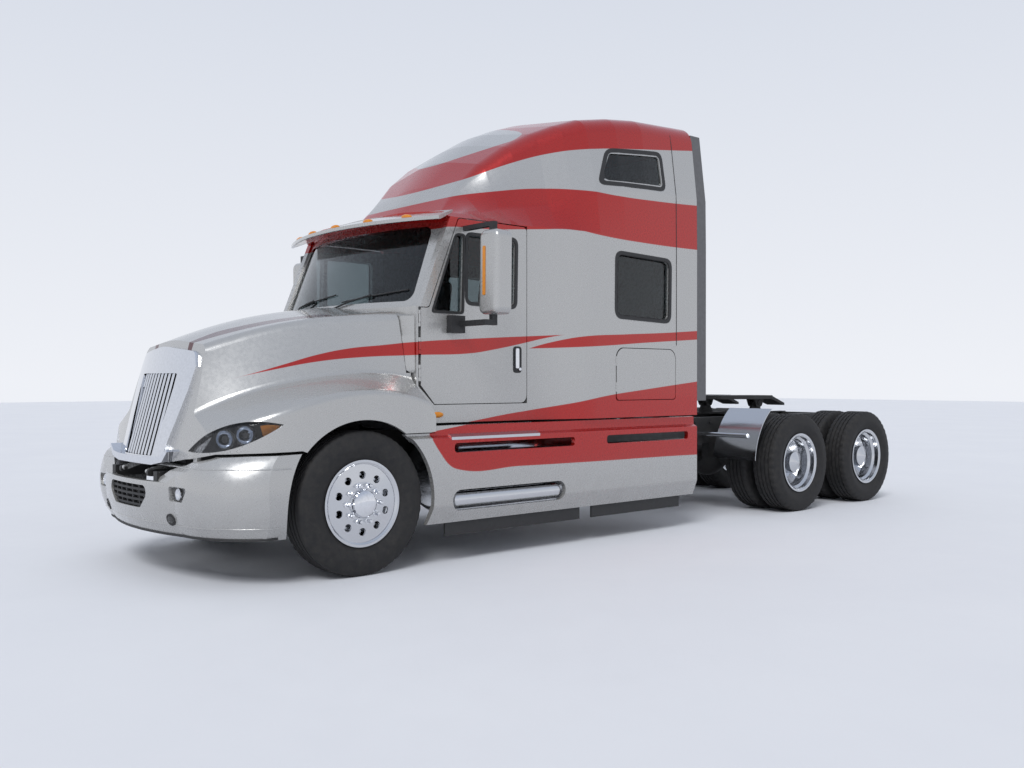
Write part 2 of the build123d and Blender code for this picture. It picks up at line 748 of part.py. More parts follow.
# Grille surround and bars: a bowed strip proud of the nose, with a lip below
GRILLE_PLANE = Plane((0, -1130, 820), x_dir=(1, 0, 0), z_dir=(0, GRILLE_LEAN, 1))


def grille_strip(front, back):
    low = ThreePointArc((-620, front + GRILLE_BOW), (0, front), (620, front + GRILLE_BOW))
    rear = ThreePointArc((620, back + GRILLE_BOW), (0, back), (-620, back + GRILLE_BOW))
    face = make_face([low, Line(low @ 1, rear @ 0), rear, Line(rear @ 1, low @ 0)])
    return extrude(GRILLE_PLANE * face, 1000, both=True)


def mirrored(half):
    return half + [(-x, z) for x, z in reversed(half) if x]


frame_half = [(365, 800), (385, 930), (425, 1100), (465, 1290), (480, 1440), (430, 1545), (0, 1590)]
frame_radii = [30, 300, 300, 300, 60, 60, 900, 60, 60, 300, 300, 300, 30]
frame_out = front_slab(mirrored(frame_half), frame_radii, -1400, -700)
frame_in = grille_opening(0)
surround = (grille_strip(0, 160) & frame_out) - frame_in - hood_outer
surround = surround.solids().sort_by(SortBy.VOLUME)[-1]
lip_edge = ThreePointArc((-560, -1112), (0, -1150), (560, -1112))
lip_band = extrude(
    Pos(0, 0, 700) * make_face([lip_edge, Polyline(lip_edge @ 1, (560, -1000), (-560, -1000), lip_edge @ 0)]), 300
)
lip_half = [(280, 826), (420, 836), (500, 884), (520, 872), (450, 800), (300, 776)]
lip = (lip_band & front_slab(mirrored(lip_half), [0] * 12, -1400, -700)) - hood_outer - frame_in
slats = [block(x - 13, x + 13, -1400, -700, 800, 1450) for x in range(-275, 276, 55)]
grille_bars = [(grille_strip(20, 55) & frame_in) & slat for slat in slats]
export("grille", merged(surround, lip, *grille_bars))


# Cab: floor with firewall and sills
points, radii = cab_plan(WALL, 560, SLEEPER_REAR - 50)
floor = plan_slab(points, radii, CAB_LOW, CAB_LOW + FLOOR_T)
floor = floor + block(-CAB_X + WALL, CAB_X - WALL, 560, 610, CAB_LOW, SCREEN_LOW - 60)
sill = block(CAB_X - WALL, CAB_X, DOOR_FRONT, DOOR_REAR + SEAM, CAB_LOW, DOOR_LOW - SEAM)
floor = floor + sill + flip(sill)
for y in (900, 3300):
    for x in (-385, 385):
        floor = floor + rod_z(55, FRAME_TOP, CAB_LOW, x, y)


def door_shape(gap, front_gap, x0, x1):
    slope_top = DOOR_PILLAR_Y + PILLAR_LEAN * (DOOR_TOP - DOOR_BELT_Z)
    return side_slab(
        [
            (DOOR_FRONT - front_gap, DOOR_CUT_Z - gap),
            (DOOR_FRONT - front_gap, DOOR_BELT_Z + gap),
            (DOOR_PILLAR_Y - gap, DOOR_BELT_Z + gap),
            (slope_top - gap, DOOR_TOP + gap),
            (DOOR_REAR + gap, DOOR_TOP + gap),
            (DOOR_REAR + gap, DOOR_LOW - gap),
            (DOOR_SILL_FRONT - gap, DOOR_LOW - gap),
        ],
        [10, 10, 30, 30, 40, 60, 10],
        x0,
        x1,
    )


door_hole = door_shape(SEAM, DOOR_FRONT_GAP, CAB_X - WALL - 20, CAB_X + 60)
floor = floor - door_hole - flip(door_hole)

# Cab front: pillars, windscreen frame and cowl
pillar_side = [
    (CAB_FRONT + 18, CAB_LOW),
    (CAB_FRONT + 18, 1285),
    (CAB_FRONT, 1305),
    (CAB_FRONT, SCREEN_LOW),
    (SCREEN_CORNER_Y - 20, SCREEN_LOW),
    (SCREEN_CORNER_Y - 20 + PILLAR_LEAN * (ROOF_SEAM - SCREEN_LOW), ROOF_SEAM),
    (1000, ROOF_SEAM),
    (1000, CAB_LOW),
]
pillar = side_slab(pillar_side, [0] * 8, CAB_X - WALL, CAB_X) - door_hole
pillar = pillar - sill
pillar = pillar.solids().sort_by(SortBy.VOLUME)[-1]
screen_frame = screen_strip(0, SCREEN_T, CAB_X - WALL, SCREEN_LOW - COWL_LEDGE)
SCREEN_OPEN = [(-925, SCREEN_LOW + 45), (925, SCREEN_LOW + 45), (895, ROOF_SEAM - 60), (-895, ROOF_SEAM - 60)]
screen_hole = front_slab(SCREEN_OPEN, [70, 70, 70, 70], 200, 1200)
cowl_front = ThreePointArc(
    (-CAB_X + WALL, SCREEN_CORNER_Y - COWL_LEDGE),
    (0, SCREEN_CORNER_Y - SCREEN_BULGE - COWL_LEDGE),
    (CAB_X - WALL, SCREEN_CORNER_Y - COWL_LEDGE),
)
cowl = extrude(
    Pos(0, 0, SCREEN_LOW - 60)
    * make_face([cowl_front, Polyline(cowl_front @ 1, (CAB_X - WALL, 660), (-CAB_X + WALL, 660), cowl_front @ 0)]),
    60,
)
cab_front = merged(screen_frame - screen_hole, cowl, pillar, flip(pillar))
for z in DOOR_HINGE_ZS:
    for side in (1, -1):
        axis_x = side * CAB_X
        axis_y = DOOR_FRONT - DOOR_FRONT_GAP / 2
        cab_front = cab_front + rod_z(HINGE_PIN_R, z - 60, z + 60, axis_x, axis_y)
        for z0 in (z - 60, z + 32):
            cab_front = cab_front + rod_z(HINGE_R, z0, z0 + 28, axis_x, axis_y)
            edge = sorted((axis_x - side * HINGE_R, axis_x))
            cab_front = cab_front + block(edge[0], edge[1], DOOR_FRONT - DOOR_FRONT_GAP - 3, axis_y, z0, z0 + 28)
export("cab_front", cab_front)
floor = floor - cab_front
floor = floor.solids().sort_by(SortBy.VOLUME)[-1]
export("cab_floor", floor)
windscreen = screen_strip(12, 12 + GLASS_T, CAB_X - WALL) & screen_hole

# Sleeper sides with the luggage doorway and the lower window
points, radii = cab_plan(0, 1000, SLEEPER_REAR)
side_out = plan_slab(points, radii, CAB_LOW, ROOF_SEAM)
points, radii = cab_plan(WALL, 900, SLEEPER_REAR + 100)
side_in = plan_slab(points, radii, CAB_LOW - 10, ROOF_SEAM + 10)
side_wall = (side_out - side_in) & block(0, 2000, DOOR_REAR + SEAM, 5000, 0, 5000)
side = side_wall


def luggage_shape(gap, front_gap, x0, x1):
    return side_slab(
        [
            (LUGGAGE["front"] - front_gap, LUGGAGE["low"] - gap),
            (LUGGAGE["rear"] + gap, LUGGAGE["low"] - gap),
            (LUGGAGE["rear"] + gap, LUGGAGE["top"] + gap),
            (LUGGAGE["front"] - front_gap, LUGGAGE["top"] + gap),
        ],
        [30, 30, 90, 90],
        x0,
        x1,
    )


LOWER_WINDOW = [(2505, 1900), (3180, 1880), (3190, 2400), (2510, 2420)]
lower_hole = side_slab(LOWER_WINDOW, [60, 60, 60, 60], 900, 1300)
side = side - lower_hole - luggage_shape(SEAM, LUGGAGE_GAP, 900, 1300)
luggage_y = LUGGAGE["front"] - LUGGAGE_GAP / 2
for z in LUGGAGE_HINGE_ZS:
    side = side + rod_z(LUGGAGE_PIN_R, z - 40, z + 40, SLEEPER_X, luggage_y)
    for z0 in (z - 40, z + 17):
        side = side + rod_z(LUGGAGE_HINGE_R, z0, z0 + 23, SLEEPER_X, luggage_y)
        side = side + block(SLEEPER_X - 5, SLEEPER_X, luggage_y - LUGGAGE_GAP / 2 - 3, luggage_y, z0, z0 + 23)
export("sleeper_sides", pair(side))

# Back wall between the sleeper sides
points, radii = cab_plan(WALL, 1000, SLEEPER_REAR)
back_wall = plan_slab(points, radii, CAB_LOW, ROOF_SEAM) & block(
    -2000, 2000, SLEEPER_REAR - 50, SLEEPER_REAR, CAB_LOW, ROOF_SEAM
)
export("cab_back", back_wall)

# Roof cap: sections across the length, narrow at the front and full width over the sleeper
ROOF_ROWS = [
    dict(y=700, base=1050, waist=1000, waist_z=2612, shoulder=620, shoulder_z=2640, crown=2652),
    dict(y=1050, base=1050, waist=1000, waist_z=2620, shoulder=640, shoulder_z=2665, crown=2690),
    dict(y=1150, base=1050, waist=950, waist_z=2640, shoulder=615, shoulder_z=2790, crown=2850),
    dict(y=1250, base=1050, waist=905, waist_z=2660, shoulder=605, shoulder_z=2905, crown=2995),
    dict(y=1450, base=1050, waist=890, waist_z=2720, shoulder=690, shoulder_z=3110, crown=3245),
    dict(y=1675, base=1060, waist=930, waist_z=2760, shoulder=775, shoulder_z=3275, crown=3415),
    dict(y=1900, base=1112, waist=985, waist_z=2800, shoulder=850, shoulder_z=3400, crown=3545),
    dict(y=2100, base=1165, waist=1080, waist_z=2855, shoulder=935, shoulder_z=3490, crown=3625),
    dict(y=2300, base=1200, waist=1160, waist_z=2900, shoulder=1010, shoulder_z=3560, crown=3690),
    dict(y=2600, base=1200, waist=1190, waist_z=2960, shoulder=1070, shoulder_z=3610, crown=3745),
    dict(y=2900, base=1200, waist=1196, waist_z=3000, shoulder=1105, shoulder_z=3640, crown=3785),
    dict(y=SLEEPER_REAR, base=1200, waist=1196, waist_z=3000, shoulder=1120, shoulder_z=3670, crown=3825),
]
ROOF_WALL = 50


def roof_face(row, inset):
    half = [
        (row["base"] - inset, ROOF_SEAM - (12 if inset else 0)),
        (row["waist"] - inset, max(row["waist_z"] - inset * 0.6, ROOF_SEAM + 2)),
        (row["shoulder"] - inset, row["shoulder_z"] - inset * 0.7),
    ]
    points = half + [(0, row["crown"] - inset * 0.8)] + [(-x, z) for x, z in reversed(half)]
    radii = [0, 120, 180, 1500, 180, 120, 0]
    if row["y"] < 1100:
        radii = [0, 30, 150, 1500, 150, 30, 0]
    return Plane.XZ.offset(-row["y"]) * outline(points, radii)


def roof_plan(inset):
    corner = SCREEN_CORNER_Y + PILLAR_LEAN * (ROOF_SEAM - SCREEN_LOW) + inset
    bow = ThreePointArc((-1300, corner + 60), (0, corner - SCREEN_BULGE), (1300, corner + 60))
    rear = SLEEPER_REAR - inset
    face = make_face([bow, Polyline(bow @ 1, (1300, rear), (-1300, rear), bow @ 0)])
    return extrude(Pos(0, 0, 2400) * face, 1600)


points, radii = cab_plan(0, 500, SLEEPER_REAR)
roof_outer = loft([roof_face(row, 0) for row in ROOF_ROWS], ruled=True) & roof_plan(0)
roof_outer = roof_outer & plan_slab(points, radii, 2500, 4000)
points, radii = cab_plan(ROOF_WALL, 500, SLEEPER_REAR)
roof_inner = loft([roof_face(row, ROOF_WALL) for row in ROOF_ROWS], ruled=True) & roof_plan(ROOF_WALL)
roof_inner = roof_inner & plan_slab(points, radii, 2500, 4000)
roof = roof_outer - roof_inner
UPPER_WINDOW = [(2385, 3062), (2450, 3042), (3100, 3070), (3090, 3330), (2500, 3282)]
upper_hole = side_slab(UPPER_WINDOW, [12, 30, 30, 30, 40], 900, 1300)
roof = roof - upper_hole - flip(upper_hole)
export("roof_cap", roof.solids().sort_by(SortBy.VOLUME)[-1])

# Sleeper glass follows the walls it closes
lower_glass = side_wall & lower_hole & block(SLEEPER_X - 40, SLEEPER_X - 28, 0, 5000, 0, 5000)
roof_wall = (roof_outer - roof_inner) & upper_hole
upper_glass = roof_wall & (Pos(-14, 0, 0) * roof_outer) - (Pos(-24, 0, 0) * roof_outer)
upper_glass = upper_glass & block(900, 1300, 0, 5000, 0, 5000)
export("fixed_glass", windscreen, pair(lower_glass), pair(upper_glass))

# Visor over the windscreen
visor_path = ThreePointArc((1045, 800, 2580), (0, 560, 2580), (-1045, 800, 2580))
visor_plane = Plane(visor_path @ 0, x_dir=(0, 0, 1), z_dir=visor_path % 0)
visor = sweep(
    visor_plane * make_face(Polyline((40, 110), (58, 110), (-18, -120), (-44, -120), (-44, -100), close=True)),
    path=visor_path,
)
visor = visor - roof_outer - cab_front - screen_strip(0, SCREEN_T, CAB_X - WALL)
export("sun_visor", visor.solids().sort_by(SortBy.VOLUME)[-1])

# Side extenders behind the sleeper
EXTENDER_T = 24
extender = front_slab(
    [
        (1197, 1160),
        (1197, ROOF_SEAM),
        (1192, 3000),
        (1118, 3610),
        (1118 - EXTENDER_T, 3610),
        (1192 - EXTENDER_T, 3000),
        (1197 - EXTENDER_T, ROOF_SEAM),
        (1197 - EXTENDER_T, 1160),
    ],
    [0, 0, 100, 0, 0, 100, 0, 0],
    SLEEPER_REAR,
    SLEEPER_REAR + 135,
)
export("side_extenders", pair(extender))

# Doors with their knuckles, glass and mirrors
VENT = [(676, 1860), (950, 1860), (966, 2440), (892, 2440)]
MAIN = [(1000, 1940), (1480, 1930), (1490, 2450), (1000, 2450)]
door = door_shape(0, 0, CAB_X - WALL, CAB_X)
glass_holes = [
    side_slab(VENT, [20, 20, 20, 20], 900, 1200),
    side_slab(MAIN, [40, 50, 50, 40], 900, 1200),
]
for hole in glass_holes:
    door = door - hole
axis_y = DOOR_FRONT - DOOR_FRONT_GAP / 2
for z in DOOR_HINGE_ZS:
    barrel = rod_z(HINGE_R, z - 28, z + 28, CAB_X, axis_y)
    barrel = barrel + block(CAB_X - HINGE_R, CAB_X, axis_y, DOOR_FRONT + 3, z - 28, z + 28)
    door = door + (barrel - rod_z(HINGE_PIN_R + PIN_GAP, z - 70, z + 70, CAB_X, axis_y))
door_glass = [
    hole & block(CAB_X - 36, CAB_X - 36 + GLASS_T, 0, 5000, 0, 5000) for hole in glass_holes
]
MIRROR_X = 1380
MIRROR_Y = 985
MIRROR_LOW = 1830
MIRROR_TOP = 2450
head = front_slab(
    [
        (MIRROR_X - 110, MIRROR_LOW),
        (MIRROR_X + 110, MIRROR_LOW),
        (MIRROR_X + 118, MIRROR_TOP),
        (MIRROR_X - 100, MIRROR_TOP),
    ],
    [50, 50, 60, 60],
    MIRROR_Y - 70,
    MIRROR_Y + 70,
)
head = fillet(head.faces().sort_by(Axis.Y)[0].edges(), 40)
upper_arm = block(CAB_X, MIRROR_X + 20, 955, 1000, 2478, 2512) + block(
    MIRROR_X - 20, MIRROR_X + 20, 955, 1000, MIRROR_TOP - 10, 2512
)
foot = block(CAB_X, CAB_X + 60, 800, 930, 1700, 1830)
reach = block(CAB_X + 30, MIRROR_X + 20, 880, 930, 1750, 1790)
drop = block(MIRROR_X - 20, MIRROR_X + 20, 880, 1000, 1750, 1790) + block(
    MIRROR_X - 20, MIRROR_X + 20, 955, 1000, 1750, MIRROR_LOW + 10
)
mirror_arm = merged(upper_arm, foot, reach, drop) - head
for side_name, turn in (("left", lambda s: s), ("right", flip)):
    export(f"door_{side_name}", turn(door))
    export(f"door_glass_{side_name}", *[turn(pane) for pane in door_glass])
    export(f"mirror_{side_name}", turn(head + mirror_arm))

# Luggage doors
luggage = luggage_shape(0, 0, SLEEPER_X - WALL, SLEEPER_X)
for z in LUGGAGE_HINGE_ZS:
    barrel = rod_z(LUGGAGE_HINGE_R, z - 15, z + 15, SLEEPER_X, luggage_y)
    barrel = barrel + block(SLEEPER_X - 5, SLEEPER_X, luggage_y, LUGGAGE["front"] + 3, z - 15, z + 15)
    luggage = luggage + (barrel - rod_z(LUGGAGE_PIN_R + PIN_GAP, z - 50, z + 50, SLEEPER_X, luggage_y))
export("luggage_door_left", luggage)
export("luggage_door_right", flip(luggage))

# Side fairings with step slots and the capsule window for the tube
fairing_section = [
    (FAIRING_X - FAIRING_T - 40, FAIRING_TOP),
    (FAIRING_X - FAIRING_T, FAIRING_TOP),
    (FAIRING_X - FAIRING_T, FAIRING_LEDGE),
    (FAIRING_X, FAIRING_LEDGE - 20),
    (FAIRING_X, 430),
    (FAIRING_X - 50, FAIRING_LOW),
    (FAIRING_X - 90, FAIRING_LOW),
    (FAIRING_X - FAIRING_T, 450),
    (FAIRING_X - FAIRING_T, FAIRING_LEDGE - 60),
    (FAIRING_X - FAIRING_T - 40, FAIRING_LEDGE - 40),
]
fairing = front_slab(fairing_section, [0, 0, 10, 15, 60, 0, 0, 60, 10, 0], 280, SLEEPER_REAR)
fairing = fairing - rod_x(ARCH_R, 600, 1300, 0, WHEEL_Z)
fairing = fairing - block(600, 1300, 0, 612, 962, 1200)
STEP_SLOTS = [dict(y0=760, y1=2000), dict(y0=2380, y1=3450)]
for slot in STEP_SLOTS:
    fairing = fairing - side_slab(
        [(slot["y0"], 815), (slot["y1"], 815), (slot["y1"], 885), (slot["y0"], 885)], [25, 25, 25, 25], 1000, 1300
    )
fairing = fairing - side_slab([(745, 385), (1895, 385), (1895, 540), (745, 540)], [76, 76, 76, 76], 1060, 1300)
fairing = fairing.solids().sort_by(SortBy.VOLUME)[-1]
for y in (1010, 1900, 3200):
    stay = block(RAIL_X, FAIRING_X - FAIRING_T, y - 30, y + 30, 955, 985)
    fairing = fairing + stay
export("side_fairings", pair(fairing))

# Step boards behind the slots and the bright tread on the ledge
boards = [
    block(1060, FAIRING_X - FAIRING_T, slot["y0"] - 20, slot["y1"] + 20, 780, 815) for slot in STEP_SLOTS
]
tread = block(CAB_X + 20, FAIRING_X - FAIRING_T - 40, 720, 1610, 985, 1010)

# Black lower skirts
skirts = [block(FAIRING_X - 82, FAIRING_X - 66, y0, y1, 200, FAIRING_LOW) for y0, y1 in ((720, 2120), (2260, 3400))]
export("steps_and_skirts", *[pair(piece) for piece in boards + skirts + [tread]])

# Inside: dashboard, steering wheel, seats and bunk
dash = side_slab(
    [(610, 1480), (610, 1828), (700, 1828), (900, 1790), (930, 1620), (860, 1480)],
    [0, 0, 20, 40, 40, 40],
    -CAB_X + WALL + 14,
    CAB_X - WALL - 14,
)
export("dashboard", dash)
wheel_plane = Plane((480, 1010, 1790), x_dir=(1, 0, 0), z_dir=(0, 0.55, 0.84))
rim = wheel_plane * Torus(225, 15)
boss = wheel_plane * Pos(0, 0, -10) * Cylinder(55, 40)
spokes = wheel_plane * merged(Box(440, 30, 14), Pos(0, -105, 0) * Box(34, 220, 14))
column = wheel_plane * Pos(0, 0, -130) * Cylinder(28, 240)
export("steering_wheel", merged(rim, boss, spokes, column) - dash)
seat_side = [
    (1260, 1440),
    (1260, 1570),
    (1660, 1550),
    (1760, 2280),
    (1880, 2270),
    (1800, 1440),
]
seat = side_slab(seat_side, [40, 50, 60, 50, 50, 60], 230, 730)
seat = seat + block(300, 660, 1350, 1760, CAB_LOW + FLOOR_T, 1450)
bunk = block(-590, 590, 2640, SLEEPER_REAR - 50, CAB_LOW + FLOOR_T, 1650)
bunk = bunk + block(-1100, 1100, 2640, SLEEPER_REAR - 50, 1650, 1760)
export("seats", pair(seat), bunk)

# Coupling: base on the rails, tilting plate with throat and ramps, jaw ring
base_foot = block(250, RAIL_X, COUPLING_Y - 330, COUPLING_Y + 330, FRAME_TOP, FRAME_TOP + 20)
cheek = side_slab(
    [
        (COUPLING_Y - 130, FRAME_TOP),
        (COUPLING_Y + 130, FRAME_TOP),
        (COUPLING_Y + 33, COUPLING_PIVOT_Z + 32),
        (COUPLING_Y - 33, COUPLING_PIVOT_Z + 32),
    ],
    [0, 0, 31, 31],
    330,
    360,
)
base = base_foot + cheek + rod_x(PIVOT_R, 300, 410, COUPLING_Y, COUPLING_PIVOT_Z)
export("fifth_wheel_base", pair(base))
plate_low = COUPLING_TOP - PLATE_T
plate = plan_slab(
    [
        (-PLATE_HALF, COUPLING_Y - 180),
        (-300, COUPLING_Y - 560),
        (300, COUPLING_Y - 560),
        (PLATE_HALF, COUPLING_Y - 180),
        (PLATE_HALF, COUPLING_Y + 200),
        (150, COUPLING_Y + 220),
        (60, COUPLING_Y + 60),
        (-60, COUPLING_Y + 60),
        (-150, COUPLING_Y + 220),
        (-PLATE_HALF, COUPLING_Y + 200),
    ],
    [120, 120, 120, 120, 20, 20, 20, 20, 20, 20],
    plate_low,
    COUPLING_TOP,
)
ramp = side_slab(
    [
        (COUPLING_Y + 190, COUPLING_TOP),
        (COUPLING_Y + 450, COUPLING_TOP - 90),
        (COUPLING_Y + 450, COUPLING_TOP - 115),
        (COUPLING_Y + 190, plate_low),
    ],
    [0, 0, 0, 0],
    200,
    PLATE_HALF - 20,
)
plate = plate + ramp + flip(ramp)
plate = plate - rod_z(70, 1000, 1300, 0, COUPLING_Y)
for x0 in (290, 372):
    ear = side_slab(
        [
            (COUPLING_Y - 90, plate_low + 5),
            (COUPLING_Y + 90, plate_low + 5),
            (COUPLING_Y + 46, COUPLING_PIVOT_Z - 46),
            (COUPLING_Y - 46, COUPLING_PIVOT_Z - 46),
        ],
        [0, 0, 40, 40],
        x0,
        x0 + 30,
    )
    ear = ear - rod_x(PIVOT_R + PIN_GAP, 200, 500, COUPLING_Y, COUPLING_PIVOT_Z)
    plate = plate + ear + flip(ear)
export("fifth_wheel_plate", plate)
jaws = rod_z(70, plate_low, COUPLING_TOP, 0, COUPLING_Y) - rod_z(JAW_R, 1000, 1300, 0, COUPLING_Y)
export("kingpin_jaws", jaws)

# Quarter fenders ahead of the drive wheels
fender_y = DRIVE_YS[0]
FENDER_R = 690
quarter = rod_x(FENDER_R + 8, 620, 1130, fender_y, WHEEL_Z) - rod_x(FENDER_R, 620, 1130, fender_y, WHEEL_Z)
quarter = quarter & block(600, 1200, fender_y - 800, fender_y - 400, WHEEL_Z + 50, WHEEL_Z + 560)
stay = rod_x(22, RAIL_X, 1000, fender_y - 640, WHEEL_Z + 290)
quarter = quarter + stay
export("quarter_fenders", pair(quarter))

# Tail lamp bar on the last crossmember
bar = block(-RAIL_X, RAIL_X, FRAME_END - 60, FRAME_END, FRAME_LOW - 90, FRAME_LOW)
export("tail_lamps", bar)
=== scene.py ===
import math

import bmesh
import bpy
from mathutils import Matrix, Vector
from mathutils.bvhtree import BVHTree


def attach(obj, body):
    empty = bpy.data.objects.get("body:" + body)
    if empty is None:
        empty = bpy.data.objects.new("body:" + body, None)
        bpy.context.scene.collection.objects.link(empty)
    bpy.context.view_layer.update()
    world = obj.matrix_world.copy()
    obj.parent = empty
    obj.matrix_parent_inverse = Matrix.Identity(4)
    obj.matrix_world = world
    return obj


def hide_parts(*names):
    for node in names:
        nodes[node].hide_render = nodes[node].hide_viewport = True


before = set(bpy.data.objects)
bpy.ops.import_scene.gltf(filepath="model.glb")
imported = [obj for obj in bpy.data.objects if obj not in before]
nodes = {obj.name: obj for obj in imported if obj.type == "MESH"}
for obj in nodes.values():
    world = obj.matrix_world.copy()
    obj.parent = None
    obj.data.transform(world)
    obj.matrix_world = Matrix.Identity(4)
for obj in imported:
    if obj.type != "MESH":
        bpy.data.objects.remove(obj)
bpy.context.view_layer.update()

# The front axle's y in the frame; every y below is measured from that axle, in metres.
AXLE = -3.075
SIDES = (("left", 1), ("right", -1))
DRIVE_YS = (5.28, 6.60)
WHEEL_Z = 0.5
FRONT_WHEEL_X = 1.035
TWIN_XS = (1.08, 0.74)
TWIN_FACE_X = 0.91
NUT_COUNT = 10
# Limits on drawn forms: least turned radius, a turn's share of an edge, sharpest mitre, flat top of a dome
LEAST_RADIUS = 1e-4
TURN_SHARE = 0.45
LEAST_MITRE = 0.35
DOME_TOP = 0.02


def at(x, y, z):
    return Vector((x, y + AXLE, z))


class Finish:
    """A procedural material: shader values set on the sockets, colour and relief from nodes."""

    def __init__(self, name, **values):
        self.material = bpy.data.materials.new(name)
        self.material.use_nodes = True
        self.tree = self.material.node_tree
        self.shader = self.tree.nodes["Principled BSDF"]
        for socket, value in values.items():
            self.shader.inputs[socket.replace("_", " ")].default_value = value
        self.place = self.add("ShaderNodeTexCoord").outputs["Object"]

    def add(self, kind, **props):
        node = self.tree.nodes.new(kind)
        for key, value in props.items():
            setattr(node, key, value)
        return node

    def feed(self, socket, value):
        if isinstance(value, bpy.types.NodeSocket):
            self.tree.links.new(value, socket)
        else:
            socket.default_value = value

    def set(self, socket, value):
        self.feed(self.shader.inputs[socket], value)

    def math(self, operation, a, b=0.0, clamp=False):
        node = self.add("ShaderNodeMath", operation=operation, use_clamp=clamp)
        self.feed(node.inputs[0], a)
        self.feed(node.inputs[1], b)
        return node.outputs[0]

    def parts(self):
        split = self.add("ShaderNodeSeparateXYZ")
        self.feed(split.inputs[0], self.place)
        return split.outputs[0], split.outputs[1], split.outputs[2]

    def stretched(self, scale):
        node = self.add("ShaderNodeMapping")
        self.feed(node.inputs["Vector"], self.place)
        node.inputs["Scale"].default_value = scale
        return node.outputs[0]

    def noise(self, scale, detail=4.0, rough=0.55, where=None):
        node = self.add("ShaderNodeTexNoise")
        self.feed(node.inputs["Vector"], where or self.place)
        node.inputs["Scale"].default_value = scale
        node.inputs["Detail"].default_value = detail
        node.inputs["Roughness"].default_value = rough
        return node.outputs["Fac"]

    def cells(self, scale, where=None, output="Distance"):
        node = self.add("ShaderNodeTexVoronoi")
        self.feed(node.inputs["Vector"], where or self.place)
        node.inputs["Scale"].default_value = scale
        return node.outputs[output]

    def between(self, value, low, high, to_low=0.0, to_high=1.0):
        node = self.add("ShaderNodeMapRange")
        self.feed(node.inputs[0], value)
        for index, number in enumerate((low, high, to_low, to_high), start=1):
            self.feed(node.inputs[index], number)
        return node.outputs[0]

    def mix(self, factor, a, b):
        node = self.add("ShaderNodeMix", data_type="RGBA")
        self.feed(node.inputs[0], factor)
        self.feed(node.inputs[6], a if isinstance(a, bpy.types.NodeSocket) else (*a, 1.0))
        self.feed(node.inputs[7], b if isinstance(b, bpy.types.NodeSocket) else (*b, 1.0))
        return node.outputs[2]

    def bump(self, height, strength, distance):
        node = self.add("ShaderNodeBump")
        node.inputs["Strength"].default_value = strength
        node.inputs["Distance"].default_value = distance
        self.feed(node.inputs["Height"], height)
        self.set("Normal", node.outputs[0])

    def curve(self, y, points):
        """Height over the ground at y, read from a smooth curve through (y from the axle, z) points."""
        y0, y1 = points[0][0], points[-1][0]
        node = self.add("ShaderNodeFloatCurve")
        line = node.mapping.curves[0]
        spots = [((py - y0) / (y1 - y0), pz / CURVE_TOP) for py, pz in points]
        line.points[0].location = spots[0]
        line.points[1].location = spots[-1]
        for spot in spots[1:-1]:
            line.points.new(*spot)
        node.mapping.update()
        self.feed(node.inputs["Value"], self.between(y, y0 + AXLE, y1 + AXLE))
        return self.math("MULTIPLY", node.outputs[0], CURVE_TOP)

    def above(self, value, edge, soft=0.0025):
        """1 where value passes edge, with a soft painted edge."""
        return self.math("DIVIDE", self.math("SUBTRACT", value, edge), soft, clamp=True)

    def all_of(self, *masks):
        result = masks[0]
        for mask in masks[1:]:
            result = self.math("MULTIPLY", result, mask)
        return result

    def band(self, y, z, low, high):
        """1 between two painted edges, over the length of the lower one."""
        return self.all_of(
            self.above(z, self.curve(y, low)),
            self.above(self.curve(y, high), z),
            self.above(y, low[0][0] + AXLE),
            self.above(low[-1][0] + AXLE, y),
        )


# Height that the curves of the painted edges are scaled by
CURVE_TOP = 4.2
SILVER = (0.44, 0.438, 0.432)
SILVER_FLAKE = (0.60, 0.60, 0.60)
RED = (0.40, 0.012, 0.009)
RED_FLAKE = (0.50, 0.03, 0.025)
# The band red as seen in shade, used for the hood stripe: painted shade
SHADED_RED = (0.075, 0.003, 0.006)
PAINT_METALLIC = 0.55
PAINT_COAT = 0.7
BARE_PLASTIC = ((0.013, 0.013, 0.014), (0.026, 0.026, 0.028))
ROAD_FILM = (0.16, 0.15, 0.14)
ROAD_FILM_SHARE = 0.35
ROAD_FILM_Z = dict(clean=0.75, full=0.25)
ROAD_DUST = (0.075, 0.07, 0.062)
TYRE_BLACK = (0.014, 0.014, 0.0155)
TYRE_DUST = (0.052, 0.049, 0.046)

